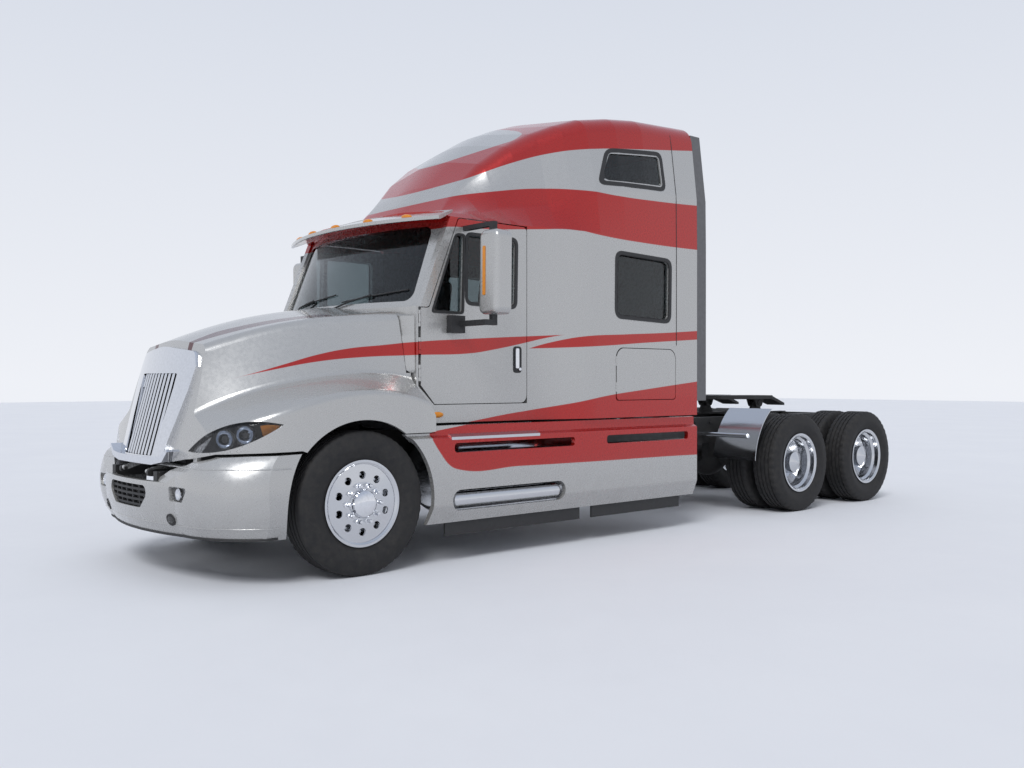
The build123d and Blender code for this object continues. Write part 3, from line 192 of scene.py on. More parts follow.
# Painted bands: lower and upper edge as (y, z) in metres
BANDS = dict(
    roof=(
        [(0.60, 2.60), (0.78, 2.718), (0.90, 2.792), (1.26, 2.954), (1.655, 3.128), (2.02, 3.246),
         (2.38, 3.308), (2.88, 3.369), (3.72, 3.48)],
        [(0.60, 2.72), (0.90, 2.93), (1.014, 2.966), (1.21, 3.083), (1.43, 3.198), (1.67, 3.31),
         (1.81, 3.375), (2.05, 3.56), (2.40, 4.0), (3.72, 4.19)],
    ),
    roof_base=(
        [(0.60, 2.45), (0.80, 2.49), (1.22, 2.515), (1.774, 2.567), (2.01, 2.581), (2.276, 2.558),
         (2.82, 2.541), (3.72, 2.546)],
        [(0.60, 2.60), (0.70, 2.645), (0.865, 2.719), (1.115, 2.808), (1.407, 2.863), (1.855, 2.927),
         (2.145, 2.933), (2.54, 2.916), (3.00, 2.925), (3.72, 2.96)],
    ),
    waist=(
        [(-0.776, 1.343), (-0.459, 1.418), (-0.17, 1.475), (0.136, 1.509), (0.522, 1.529), (1.042, 1.552),
         (1.267, 1.585), (1.565, 1.64), (1.87, 1.704), (1.976, 1.720)],
        [(-0.776, 1.343), (-0.596, 1.393), (-0.385, 1.458), (-0.161, 1.526), (0.073, 1.575), (0.31, 1.602),
         (0.564, 1.631), (0.943, 1.658), (1.565, 1.697), (1.976, 1.720)],
    ),
    sleeper=(
        [(1.619, 1.60), (1.976, 1.614), (2.349, 1.635), (2.864, 1.673), (3.507, 1.715), (3.72, 1.73)],
        [(1.619, 1.60), (1.94, 1.68), (2.121, 1.709), (2.601, 1.74), (3.137, 1.77), (3.507, 1.796),
         (3.72, 1.81)],
    ),
    sill=(
        [(0.56, 0.914), (0.633, 0.814), (0.71, 0.729), (0.78, 0.694), (1.4, 0.682), (2.105, 0.674),
         (3.508, 0.665), (3.72, 0.66)],
        [(0.56, 0.972), (1.0, 1.03), (1.392, 1.082), (1.649, 1.11), (1.976, 1.155), (2.349, 1.214),
         (2.864, 1.268), (3.507, 1.33), (3.72, 1.35)],
    ),
)
# Bands that are painted on the sides only, from this far out
SIDE_BANDS = ("waist", "sleeper", "sill")
SIDE_BANDS_X = 0.55
# Red stripe along each shoulder of the hood, coloured in the red as seen in shade (painted shade): outer
# edge as (y, x), over a sloping lower limit
HOOD_STRIPE = [(-1.05, 0.25), (-0.85, 0.335), (-0.60, 0.44), (-0.30, 0.565), (0.04, 0.70)]
HOOD_STRIPE_WIDTH = 0.16
HOOD_STRIPE_TIP = dict(start=-1.0, full=-0.65)
HOOD_STRIPE_LOW = dict(slope=0.18, z=1.86)


def lacquer(name, banded, painted=None):
    """Metallic paint under clear coat, with flake, orange peel and road film low down.

    painted, where given, makes the mask outside which the piece is black plastic."""
    f = Finish(name, Metallic=PAINT_METALLIC, Coat_Weight=PAINT_COAT, Coat_Roughness=0.045)
    x, y, z = f.parts()
    flake = f.cells(1400.0, output="Color")
    base = f.mix(f.between(flake, 0.0, 1.0, 0.0, 0.08), SILVER, SILVER_FLAKE)
    if banded:
        wide = f.math("ABSOLUTE", x)
        side = f.above(wide, SIDE_BANDS_X)
        for key, (low, high) in BANDS.items():
            mask = f.band(y, z, low, high)
            if key in SIDE_BANDS:
                mask = f.all_of(mask, side)
            tone = f.mix(f.between(flake, 0.0, 1.0, 0.0, 0.12), RED, RED_FLAKE)
            base = f.mix(mask, base, tone)
        outer = f.curve(y, HOOD_STRIPE)
        start, full = HOOD_STRIPE_TIP["start"] + AXLE, HOOD_STRIPE_TIP["full"] + AXLE
        taper = f.between(y, start, full, 0.0, HOOD_STRIPE_WIDTH)
        lowest = f.math("ADD", f.math("MULTIPLY", y, HOOD_STRIPE_LOW["slope"]), HOOD_STRIPE_LOW["z"])
        hood = f.all_of(
            f.above(outer, wide),
            f.above(wide, f.math("SUBTRACT", outer, taper)),
            f.above(z, lowest),
            f.above(HOOD_STRIPE[-1][0] + AXLE, y),
        )
        # The hood stripe is real red paint, coloured with the shaded red tone: painted shade
        base = f.mix(hood, base, SHADED_RED)
    film_height = f.between(z, ROAD_FILM_Z["clean"], ROAD_FILM_Z["full"])
    film = f.math("MULTIPLY", film_height, f.noise(9.0), clamp=True)
    base = f.mix(f.math("MULTIPLY", film, ROAD_FILM_SHARE), base, ROAD_FILM)
    gloss = f.between(f.noise(35.0), 0.3, 0.7, 0.24, 0.32)
    if painted:
        mask = painted(f, f.math("ABSOLUTE", x), y, z)
        base = f.mix(mask, f.mix(f.noise(30.0), *BARE_PLASTIC), base)
        gloss = f.math("ADD", gloss, f.between(mask, 0.0, 1.0, 0.3, 0.0))
        f.set("Metallic", f.between(mask, 0.0, 1.0, 0.0, PAINT_METALLIC))
        f.set("Coat Weight", f.between(mask, 0.0, 1.0, 0.0, PAINT_COAT))
    f.set("Base Color", base)
    f.set("Roughness", gloss)
    f.bump(f.noise(420.0, 2.0), 0.06, 0.0004)
    return f.material


def black_paint(name, tone=0.014, rough=0.42):
    f = Finish(name)
    dust = f.math("MULTIPLY", f.noise(14.0, 6.0), f.noise(160.0), clamp=True)
    dusty = f.between(dust, 0.2, 0.42, 0.0, 0.35)
    f.set("Base Color", f.mix(dusty, (tone, tone, tone * 1.05), ROAD_DUST))
    f.set("Roughness", f.between(dust, 0.15, 0.4, rough, rough + 0.3))
    f.bump(f.noise(300.0, 3.0), 0.18, 0.0008)
    return f.material


def moulded(name, tone):
    f = Finish(name)
    grain = f.cells(900.0)
    f.set("Base Color", f.mix(f.noise(30.0), tone, tuple(c * 1.7 + 0.004 for c in tone)))
    f.set("Roughness", f.between(grain, 0.0, 0.6, 0.46, 0.62))
    f.bump(grain, 0.22, 0.0006)
    return f.material


def bright_metal(name, tone, rough_low, rough_high, brush=(1.0, 1.0, 1.0)):
    f = Finish(name, Metallic=1.0)
    where = f.stretched(brush)
    wear = f.noise(60.0, 5.0, where=where)
    f.set("Base Color", f.mix(f.between(wear, 0.3, 0.7), tone, tuple(min(c * 1.12, 1.0) for c in tone)))
    f.set("Roughness", f.between(wear, 0.3, 0.7, rough_low, rough_high))
    f.bump(f.noise(700.0, 2.0, where=where), 0.03, 0.0003)
    return f.material


def rubber(name):
    f = Finish(name, Specular_IOR_Level=0.35)
    dust = f.noise(22.0, 6.0, 0.65)
    f.set("Base Color", f.mix(f.between(dust, 0.35, 0.75, 0.0, 0.6), TYRE_BLACK, TYRE_DUST))
    f.set("Roughness", f.between(dust, 0.3, 0.7, 0.62, 0.86))
    f.bump(f.noise(420.0, 4.0), 0.22, 0.0012)
    return f.material


def pane(name, tone, ripple):
    f = Finish(name, Transmission_Weight=1.0, IOR=1.45)
    smear = f.noise(3.0, 5.0)
    f.set("Base Color", f.mix(f.between(smear, 0.35, 0.7, 0.0, 0.5), tone, tuple(c * 0.86 for c in tone)))
    f.set("Roughness", f.between(f.noise(18.0), 0.35, 0.75, 0.0, 0.03))
    f.bump(f.noise(2.2, 1.0), ripple, 0.004)
    return f.material


def lens(name, tone, clear, prism):
    f = Finish(name, Transmission_Weight=clear, IOR=1.35)
    cells = f.cells(prism)
    f.set("Base Color", f.mix(cells, tone, tuple(min(c * 1.35 + 0.02, 1.0) for c in tone)))
    f.set("Roughness", f.between(f.noise(40.0), 0.3, 0.7, 0.04, 0.1))
    f.bump(cells, 0.3, 0.0015)
    return f.material


def cloth(name, tone):
    f = Finish(name, Sheen_Weight=0.35, Sheen_Roughness=0.5)
    warp = f.add("ShaderNodeTexWave", bands_direction="X")
    weft = f.add("ShaderNodeTexWave", bands_direction="Y")
    for wave in (warp, weft):
        f.feed(wave.inputs["Vector"], f.place)
        wave.inputs["Scale"].default_value = 260.0
        wave.inputs["Distortion"].default_value = 1.2
    weave = f.math("MULTIPLY", warp.outputs["Fac"], weft.outputs["Fac"])
    shade = f.math("ADD", f.math("MULTIPLY", weave, 0.6), f.math("MULTIPLY", f.noise(7.0), 0.4))
    f.set("Base Color", f.mix(shade, tuple(c * 0.6 for c in tone), tone))
    f.set("Roughness", f.between(weave, 0.0, 1.0, 0.78, 0.95))
    f.bump(weave, 0.35, 0.0012)
    return f.material


# Where paint ends at black plastic: inboard of the sill's outer face, and around the mirror's shell
SILL_PAINT_X = 0.985
MIRROR_PAINT_X = 1.268
MIRROR_PAINT_Z = (1.828, 2.452)


def sill_painted(f, wide, y, z):
    return f.above(wide, SILL_PAINT_X)


def mirror_painted(f, wide, y, z):
    low, high = MIRROR_PAINT_Z
    return f.all_of(f.above(wide, MIRROR_PAINT_X), f.above(z, low), f.above(high, z))


PAINT = lacquer("paint_banded", True)
PLAIN = lacquer("paint_silver", False)
SILL = lacquer("paint_sill", True, sill_painted)
MIRROR_PAINT = lacquer("paint_mirror", False, mirror_painted)
FRAME_BLACK = black_paint("chassis_black")
CAST_BLACK = black_paint("cast_black", 0.02, 0.55)
PLASTIC = moulded("black_plastic", (0.013, 0.013, 0.014))
TRIM = moulded("grey_trim", (0.085, 0.085, 0.09))
CHROME = bright_metal("chrome", (0.71, 0.72, 0.745), 0.05, 0.11)
POLISHED = bright_metal("polished_aluminium", (0.58, 0.59, 0.61), 0.10, 0.22, (1.0, 9.0, 9.0))
STEEL = bright_metal("bare_steel", (0.36, 0.36, 0.37), 0.32, 0.5)
TYRE = rubber("tyre_rubber")
GLASS = pane("tinted_glass", (0.30, 0.35, 0.36), 0.05)
MIRROR_FACE = bright_metal("mirror_face", (0.82, 0.83, 0.84), 0.015, 0.03)
CLEAR = lens("clear_lens", (0.93, 0.94, 0.95), 0.96, 60.0)
COVER = lens("lamp_cover", (0.90, 0.92, 0.95), 1.0, 14.0)
REFLECTOR = bright_metal("lamp_reflector", (0.52, 0.55, 0.60), 0.10, 0.2)
AMBER = lens("amber_lens", (0.85, 0.28, 0.02), 0.35, 120.0)
RED_LENS = lens("red_lens", (0.42, 0.008, 0.008), 0.25, 120.0)
SEAT_CLOTH = cloth("seat_cloth", (0.10, 0.10, 0.115))
BUNK_CLOTH = cloth("bunk_cloth", (0.22, 0.215, 0.21))

# What is not listed is a tyre or polished: wheels, tanks and quarter fenders
NODES_BY_FINISH = [
    (PAINT, ("hood", "door_left", "door_right", "cab_front", "sleeper_sides", "luggage_door_left",
             "luggage_door_right", "roof_cap", "side_fairings")),
    (PLAIN, ("bumper", "cab_back", "sun_visor")),
    (SILL, ("cab_floor",)),
    (MIRROR_PAINT, ("mirror_left", "mirror_right")),
    (TRIM, ("side_extenders",)),
    (FRAME_BLACK, ("chassis_frame", "front_axle", "drive_axles", "tail_lamps", "tie_rod")),
    (CAST_BLACK, ("powertrain", "radiator", "fifth_wheel_base", "fifth_wheel_plate", "knuckle_left",
                  "knuckle_right")),
    (PLASTIC, ("intake_mesh", "steps_and_skirts", "dashboard", "steering_wheel", "arch_liners")),
    (GLASS, ("fixed_glass", "door_glass_left", "door_glass_right")),
    (CLEAR, ("fog_lamps",)),
    (COVER, ("headlamps",)),
    (CHROME, ("grille",)),
    (STEEL, ("kingpin_jaws",)),
    (SEAT_CLOTH, ("seats",)),
]
NODE_FINISH = {name: finish for finish, names in NODES_BY_FINISH for name in names}
for name, node in nodes.items():
    node.data.materials.clear()
    node.data.materials.append(NODE_FINISH.get(name, TYRE if "tyre" in name else POLISHED))


def mounted(name, data, body):
    """An object of a mesh or curve, riding on a body."""
    thing = bpy.data.objects.new(name, data)
    bpy.context.scene.collection.objects.link(thing)
    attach(thing, body)
    return thing


def piece(name, mesh, material, body, smooth_angle=35.0):
    """A mesh made into an object, smooth but for edges sharper than an angle."""
    bmesh.ops.recalc_face_normals(mesh, faces=mesh.faces)
    data = bpy.data.meshes.new(name)
    mesh.to_mesh(data)
    mesh.free()
    data.materials.append(material)
    for polygon in data.polygons:
        polygon.use_smooth = True
    data.set_sharp_from_angle(angle=math.radians(smooth_angle))
    return mounted(name, data, body)


def bevel(thing, width, segments=2):
    modifier = thing.modifiers.new("edges", "BEVEL")
    modifier.width = width
    modifier.segments = segments
    modifier.limit_method = "ANGLE"
    return thing


def bridge(mesh, low, high):
    """Four-sided faces between two closed rows of the same count."""
    for i in range(len(low)):
        j = (i + 1) % len(low)
        mesh.faces.new((low[i], low[j], high[j], high[i]))


def turned(mesh, profile, centre, axis, segments=48, closed=False):
    """Turn a profile of (along the axis, radius) pairs about an axis through centre."""
    axis = Vector(axis).normalized()
    across = axis.orthogonal().normalized()
    other = axis.cross(across)
    rows = []
    for along, radius in profile:
        row = []
        for i in range(segments):
            angle = 2 * math.pi * i / segments
            spoke = across * math.cos(angle) + other * math.sin(angle)
            row.append(mesh.verts.new(centre + axis * along + spoke * max(radius, LEAST_RADIUS)))
        rows.append(row)
    pairs = list(zip(rows, rows[1:]))
    if closed:
        pairs.append((rows[-1], rows[0]))
    for low, high in pairs:
        bridge(mesh, low, high)
    if not closed:
        mesh.faces.new(rows[0])
        mesh.faces.new(rows[-1])
    return mesh


def prism(mesh, points, offset):
    """A closed slab: an outline of points swept along an offset."""
    low = [mesh.verts.new(p) for p in points]
    high = [mesh.verts.new(p + offset) for p in points]
    mesh.faces.new(low)
    mesh.faces.new(high)
    bridge(mesh, low, high)
    return mesh


def run(name, points, radius, material, body, closed=False, resolution=4):
    """A round bar or bead along points."""
    data = bpy.data.curves.new(name, "CURVE")
    data.dimensions = "3D"
    data.bevel_depth = radius
    data.bevel_resolution = resolution
    data.use_fill_caps = True
    line = data.splines.new("POLY")
    line.points.add(len(points) - 1)
    for spot, p in zip(line.points, points):
        spot.co = (*p, 1.0)
    line.use_cyclic_u = closed
    data.materials.append(material)
    return mounted(name, data, body)


def rounded(corners, radius, steps=6):
    """A closed outline of (a, b) corners with rounded turns."""
    out = []
    count = len(corners)
    for i, corner in enumerate(corners):
        here = Vector(corner)
        back = Vector(corners[i - 1]) - here
        ahead = Vector(corners[(i + 1) % count]) - here
        reach = min(radius, back.length * TURN_SHARE, ahead.length * TURN_SHARE)
        a = here + back.normalized() * reach
        b = here + ahead.normalized() * reach
        for k in range(steps + 1):
            t = k / steps
            out.append(a * (1 - t) ** 2 + here * 2 * t * (1 - t) + b * t * t)
    return out


def rectangle(a0, b0, a1, b1):
    return [(a0, b0), (a1, b0), (a1, b1), (a0, b1)]


def divided(outline, parts=5):
    """The same closed outline with each run split into equal parts."""
    out = []
    for here, ahead in zip(outline, outline[1:] + outline[:1]):
        out += [here.lerp(ahead, k / parts) for k in range(parts)]
    return out


def skin(*names):
    """The surface of one or more nodes, to seat pieces on."""
    spots, faces = [], []
    for name in names:
        data = nodes[name].data
        start = len(spots)
        spots += [v.co.copy() for v in data.vertices]
        faces += [[start + i for i in polygon.vertices] for polygon in data.polygons]
    return BVHTree.FromPolygons(spots, faces)


def landing(tree, start, direction):
    """Where a line from start meets a surface, with the outward normal there."""
    direction = Vector(direction).normalized()
    spot, normal = tree.ray_cast(start, direction)[:2]
    if normal.dot(direction) > 0:
        normal = -normal
    return spot, normal


def dome(mesh, centre, normal, across, half_wide, half_high, height, sink=0.004, steps=6, segments=40):
    """An oval lens: rings drawn in towards the top, closed below the skin."""
    normal = normal.normalized()
    across = (across - normal * across.dot(normal)).normalized()
    up = normal.cross(across)
    rings = []
    for k in range(steps + 2):
        if k == 0:
            lift, share = -sink, 1.0
        else:
            angle = math.pi / 2 * (k - 1) / steps
            lift, share = height * math.sin(angle), max(math.cos(angle), DOME_TOP)
        ring = []
        for i in range(segments):
            a = 2 * math.pi * i / segments
            spot = centre + normal * lift + across * (half_wide * share * math.cos(a))
            ring.append(mesh.verts.new(spot + up * (half_high * share * math.sin(a))))
        rings.append(ring)
    for low, high in zip(rings, rings[1:]):
        bridge(mesh, low, high)
    mesh.faces.new(rings[0])
    mesh.faces.new(rings[-1])


def grown(corners, distance):
    """Corners of a closed outline moved outwards by a distance."""
    count = len(corners)
    middle = sum((Vector(c) for c in corners), Vector((0, 0))) / count
    out = []
    for i, corner in enumerate(corners):
        here = Vector(corner)
        a = (here - Vector(corners[i - 1])).normalized()
        b = (Vector(corners[(i + 1) % count]) - here).normalized()
        turn = Vector((a.y, -a.x)) + Vector((b.y, -b.x))
        if turn.dot(here - middle) < 0:
            turn = -turn
        share = turn.normalized().dot(Vector((a.y, -a.x)))
        out.append(here + turn.normalized() * distance / max(abs(share), LEAST_MITRE))
    return out


def band_ring(mesh, outer, inner, place, offset):
    """A flat closed frame between two outlines with the same count of points."""
    loops = []
    for shift in (Vector((0, 0, 0)), offset):
        for line in (outer, inner):
            loops.append([mesh.verts.new(place(a, b) + shift) for a, b in line])
    low_out, low_in, high_out, high_in = loops
    for first, second in ((low_out, low_in), (high_out, high_in), (low_out, high_out), (low_in, high_in)):
        bridge(mesh, first, second)


def cushion(mesh, low, high, crown, radius, cells=14):
    """A stuffed block: rounded edges, each face crowned between its seams."""
    size = high - low
    middle = (low + high) / 2
    seen = {}

    def corner(p):
        key = tuple(round(c, 5) for c in p)
        if key not in seen:
            seen[key] = mesh.verts.new(p)
        return seen[key]

    def form(unit):
        arch = [1 - u ** 2 for u in unit]
        swell = Vector((arch[1] * arch[2], arch[0] * arch[2], arch[0] * arch[1]))
        spot = Vector(unit[i] * size[i] / 2 for i in range(3))
        core = Vector(max(-size[i] / 2 + radius, min(size[i] / 2 - radius, spot[i])) for i in range(3))
        edge = spot - core
        if edge.length > 1e-9:
            edge = edge.normalized() * min(radius, edge.length)
        lift = Vector(unit[i] * swell[i] * crown if abs(unit[i]) > 0.999 else 0.0 for i in range(3))
        return middle + core + edge + lift

    grid = [-1 + 2 * i / cells for i in range(cells + 1)]
    for axis in range(3):
        for end in (-1.0, 1.0):
            for a0, a1 in zip(grid, grid[1:]):
                for b0, b1 in zip(grid, grid[1:]):
                    loop = []
                    for a, b in ((a0, b0), (a1, b0), (a1, b1), (a0, b1)):
                        unit = [a, b]
                        unit.insert(axis, end)
                        loop.append(corner(form(unit)))
                    if len(set(loop)) == 4:
                        mesh.faces.new(loop)


# Camera at the photograph's station
SENSOR = 36.0
FOCAL_PX = 1000
FRAME_PX = 1024
CAMERA_PLACE = (6.98, -3.76, 1.342)
CAMERA_DIP = 0.18
CAMERA_TURN = 48.7
scene = bpy.context.scene
scene.view_settings.view_transform = "Standard"
camera_data = bpy.data.cameras.new("camera")
camera_data.sensor_width = SENSOR
camera_data.lens = SENSOR * FOCAL_PX / FRAME_PX
camera_data.clip_end = 300.0
camera = bpy.data.objects.new("camera", camera_data)
camera.location = at(*CAMERA_PLACE)
camera.rotation_euler = (math.radians(90 - CAMERA_DIP), 0.0, math.radians(CAMERA_TURN))
scene.collection.objects.link(camera)
scene.camera = camera

# Soft key lamp, an even fill that lights the object, and a pale sky that shows behind it and in it
KEY_ENERGY = 1.7
KEY_SPREAD = 24
KEY_TURN = (42, 6, 28)
FILL = (0.92, 0.95, 1.0, 1.0)
FILL_STRENGTH = 0.62
SKY_LOW = (0.86, 0.88, 0.93, 1.0)
SKY_HIGH = (0.50, 0.56, 0.68, 1.0)
SKY_HIGH_AT = 0.75
sun_data = bpy.data.lights.new("key", "SUN")
sun_data.energy = KEY_ENERGY
sun_data.angle = math.radians(KEY_SPREAD)
sun = bpy.data.objects.new("key", sun_data)
sun.rotation_euler = [math.radians(angle) for angle in KEY_TURN]
scene.collection.objects.link(sun)

world = bpy.data.worlds.new("surroundings")
world.cycles.sampling_method = "NONE"
scene.world = world
world.use_nodes = True
tree = world.node_tree
back = tree.nodes["Background"]
lit = tree.nodes.new("ShaderNodeBackground")
lit.inputs["Color"].default_value = FILL
lit.inputs["Strength"].default_value = FILL_STRENGTH
path = tree.nodes.new("ShaderNodeLightPath")
sky = tree.nodes.new("ShaderNodeTexCoord")
split = tree.nodes.new("ShaderNodeSeparateXYZ")
ramp = tree.nodes.new("ShaderNodeValToRGB")
tree.links.new(sky.outputs["Generated"], split.inputs[0])
tree.links.new(split.outputs[2], ramp.inputs[0])
ramp.color_ramp.elements[0].position = 0.0
ramp.color_ramp.elements[0].color = SKY_LOW
ramp.color_ramp.elements[1].position = SKY_HIGH_AT
ramp.color_ramp.elements[1].color = SKY_HIGH
tree.links.new(ramp.outputs[0], back.inputs["Color"])
back.inputs["Strength"].default_value = 1.0
seen = path.outputs["Is Camera Ray"]
for kind in ("Is Glossy Ray", "Is Transmission Ray"):
    either = tree.nodes.new("ShaderNodeMath")
    either.operation = "MAXIMUM"
    tree.links.new(seen, either.inputs[0])
    tree.links.new(path.outputs[kind], either.inputs[1])
    seen = either.outputs[0]
blend = tree.nodes.new("ShaderNodeMixShader")
tree.links.new(seen, blend.inputs[0])
tree.links.new(lit.outputs[0], blend.inputs[1])
tree.links.new(back.outputs[0], blend.inputs[2])
tree.links.new(blend.outputs[0], tree.nodes["World Output"].inputs["Surface"])

# Pale floor
FLOOR_HALF = 60.0
FLOOR_TONES = ((0.70, 0.72, 0.78), (0.76, 0.78, 0.83))
floor_mesh = bmesh.new()
bmesh.ops.create_grid(floor_mesh, x_segments=8, y_segments=8, size=FLOOR_HALF)
floor_data = bpy.data.meshes.new("floor")
floor_mesh.to_mesh(floor_data)
floor_mesh.free()
ground = Finish("pale_floor")
ground.set("Base Color", ground.mix(ground.noise(0.6), *FLOOR_TONES))
ground.set("Roughness", ground.between(ground.noise(5.0), 0.3, 0.7, 0.62, 0.78))
floor_data.materials.append(ground.material)
floor = bpy.data.objects.new("floor", floor_data)
scene.collection.objects.link(floor)

# Tyres: moulded section as (across, radius) with ribs or lugs, turned about the axle line
TYRE_SEGMENTS = 168
CROWN_R = 0.4998
GROOVES = (-0.066, -0.022, 0.022, 0.066)
GROOVE_HALF = 0.006
GROOVE_SLOPE = 0.0015
GROOVE_DEEP = 0.013
TREAD_R = 0.488
SHOULDER = 0.075
LUG_PITCH = 0.03
LUG_DEEP = dict(shoulder=0.010, middle=0.007)
RIB_NICK = 0.004
TYRE_SIDE = [
    (0.060, 0.300), (0.062, 0.288), (0.100, 0.287), (0.104, 0.306), (0.116, 0.325), (0.119, 0.330),
    (0.122, 0.338), (0.130, 0.360), (0.138, 0.385), (0.139, 0.398), (0.136, 0.425), (0.1345, 0.430),
    (0.131, 0.450), (0.125, 0.474), (0.117, 0.491), (0.109, 0.4965), (0.102, 0.4995),
]


def tyre_section():
    crown = []
    for centre in reversed(GROOVES):
        for offset, drop in (
            (GROOVE_HALF + GROOVE_SLOPE, 0.0),
            (GROOVE_HALF, GROOVE_DEEP),
            (-GROOVE_HALF, GROOVE_DEEP),
            (-GROOVE_HALF - GROOVE_SLOPE, 0.0),
        ):
            crown.append((centre + offset, CROWN_R - drop))
    return TYRE_SIDE + crown + [(-a, r) for a, r in reversed(TYRE_SIDE)]


def tyre(mesh, x, y, lugs):
    section = tyre_section()
    rows = []
    for i in range(TYRE_SEGMENTS):
        angle = 2 * math.pi * i / TYRE_SEGMENTS
        row = []
        for a, r in section:
            tread = r > TREAD_R
            shoulder = abs(a) > SHOULDER
            phase = (i + (1 if a > 0 else 0) + int(abs(a) / LUG_PITCH)) % 4
            if tread and lugs and phase == 0:
                r -= LUG_DEEP["shoulder" if shoulder else "middle"]
            if tread and not lugs and shoulder and i % 3 == 0:
                r -= RIB_NICK
            row.append(mesh.verts.new(at(x + a, y + r * math.sin(angle), WHEEL_Z + r * math.cos(angle))))
        rows.append(row)
    for low, high in zip(rows, rows[1:] + rows[:1]):
        bridge(mesh, low, high)


FRONT_NUTS = dict(x=FRONT_WHEEL_X + 0.112, r=0.128)
TWIN_NUTS = dict(x=TWIN_FACE_X + 0.016, r=0.146)
WHEELS = [
    dict(node="front_tyre", body="front_wheel", y=0.0, xs=(FRONT_WHEEL_X,), lugs=False, nuts=FRONT_NUTS),
    dict(node="drive_tyres_1", body="drive_wheel_1", y=DRIVE_YS[0], xs=TWIN_XS, lugs=True, nuts=TWIN_NUTS),
    dict(node="drive_tyres_2", body="drive_wheel_2", y=DRIVE_YS[1], xs=TWIN_XS, lugs=True, nuts=TWIN_NUTS),
]
# Nuts and hub covers as (outwards, radius); a nut is a round washer under a six-sided cap
HEX = 6
NUT_WASHER = [(0.0, 0.021), (0.006, 0.021), (0.008, 0.0165)]
NUT_CAP = [(0.006, 0.0165), (0.040, 0.0155), (0.048, 0.011), (0.051, 0.003)]
HUB_COVER = [
    (0.112, 0.100), (0.118, 0.101), (0.124, 0.096), (0.150, 0.090), (0.163, 0.076), (0.170, 0.050),
    (0.173, 0.020), (0.1735, 0.0),
]
for wheel in WHEELS:
    for side, sign in SIDES:
        body = f"{wheel['body']}_{side}"
        mesh = bmesh.new()
        for x in wheel["xs"]:
            tyre(mesh, sign * x, wheel["y"], wheel["lugs"])
        thing = piece(f"{wheel['node']}_tread_{side}", mesh, TYRE, body, 30.0)
        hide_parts(f"{wheel['node']}_{side}")
        mesh = bmesh.new()
        nuts = wheel["nuts"]
        for i in range(NUT_COUNT):
            angle = 2 * math.pi * (i + 0.5) / NUT_COUNT
            centre = at(
                sign * nuts["x"],
                wheel["y"] + nuts["r"] * math.sin(angle),
                WHEEL_Z + nuts["r"] * math.cos(angle),
            )
            turned(mesh, NUT_WASHER, centre, (sign, 0, 0), 24)
            turned(mesh, NUT_CAP, centre, (sign, 0, 0), HEX)
        piece(f"wheel_nuts_{wheel['body']}_{side}", mesh, CHROME, body, 40.0)

# Domed covers over the front hubs
for side, sign in SIDES:
    mesh = bmesh.new()
    turned(mesh, HUB_COVER, at(sign * FRONT_WHEEL_X, 0.0, WHEEL_Z), (sign, 0, 0), 56)
    piece(f"hub_cover_{side}", mesh, CHROME, f"front_wheel_{side}", 30.0)

# Door handles as (y, z) on the door's skin, and mirror faces as (x, z) on the mirror's rear
DOOR_X = 1.0498
HANDLE_CUP = rounded(rectangle(1.462, 1.405, 1.548, 1.615), 0.03)
HANDLE_PADDLE = rounded(rectangle(1.474, 1.44, 1.510, 1.60), 0.012)
PADDLE_X = 1.052
LOCK = [(0.0, 0.014), (0.006, 0.014), (0.008, 0.010)]
LOCK_AT = dict(x=1.0535, y=1.53, z=1.435)
MIRROR_GLASS = rounded([(1.285, 1.85), (1.475, 1.85), (1.48, 2.43), (1.295, 2.43)], 0.04)
MIRROR_REAR_Y = 1.0552
for side, sign in SIDES:
    mesh = bmesh.new()
    prism(mesh, [at(sign * DOOR_X, y, z) for y, z in HANDLE_CUP], Vector((sign * 0.004, 0, 0)))
    piece(f"handle_cup_{side}", mesh, PLASTIC, f"door_{side}")
    mesh = bmesh.new()
    prism(mesh, [at(sign * PADDLE_X, y, z) for y, z in HANDLE_PADDLE], Vector((sign * 0.020, 0, 0)))
    turned(mesh, LOCK, at(sign * LOCK_AT["x"], LOCK_AT["y"], LOCK_AT["z"]), (sign, 0, 0), 28)
    bevel(piece(f"handle_paddle_{side}", mesh, CHROME, f"door_{side}"), 0.004, 3)
    mesh = bmesh.new()
    prism(mesh, [at(sign * x, MIRROR_REAR_Y, z) for x, z in MIRROR_GLASS], Vector((0, 0.003, 0)))
    piece(f"mirror_face_{side}", mesh, MIRROR_FACE, f"door_{side}")

# Headlamps: dark bucket behind the cover, two bright bowls with dark bulbs and rims, and an amber corner.
# Outlines are (along the lamp, z), and depths go inwards from the cover.
LAMP_AXIS = Vector((0.72, 0.69, 0.0)).normalized()
LAMP_NORMAL = Vector((0.69, -0.72, 0.0)).normalized()
LAMP_MIDDLE = dict(x=1.0, y=-0.84)
LAMP_AHEAD = 0.6
LAMP_MISS = 0.71
LAMP_DEPTH = dict(bucket=0.075, bowl=0.072, corner=0.045)
LAMP_TOP = [
    (-0.385, 0.872), (-0.30, 0.955), (-0.20, 1.012), (-0.09, 1.045), (0.03, 1.062), (0.15, 1.066),
    (0.258, 1.056),
]
LAMP_LOW = [(0.16, 0.968), (0.05, 0.914), (-0.07, 0.884), (-0.20, 0.870)]
LAMP_CORNER = [(0.115, 1.050), (0.16, 1.058), (0.235, 1.050), (0.165, 0.985), (0.115, 0.955)]
LAMP_BOWLS = [dict(u=-0.115, z=0.962), dict(u=0.025, z=0.990)]
BOWL_R = 0.060
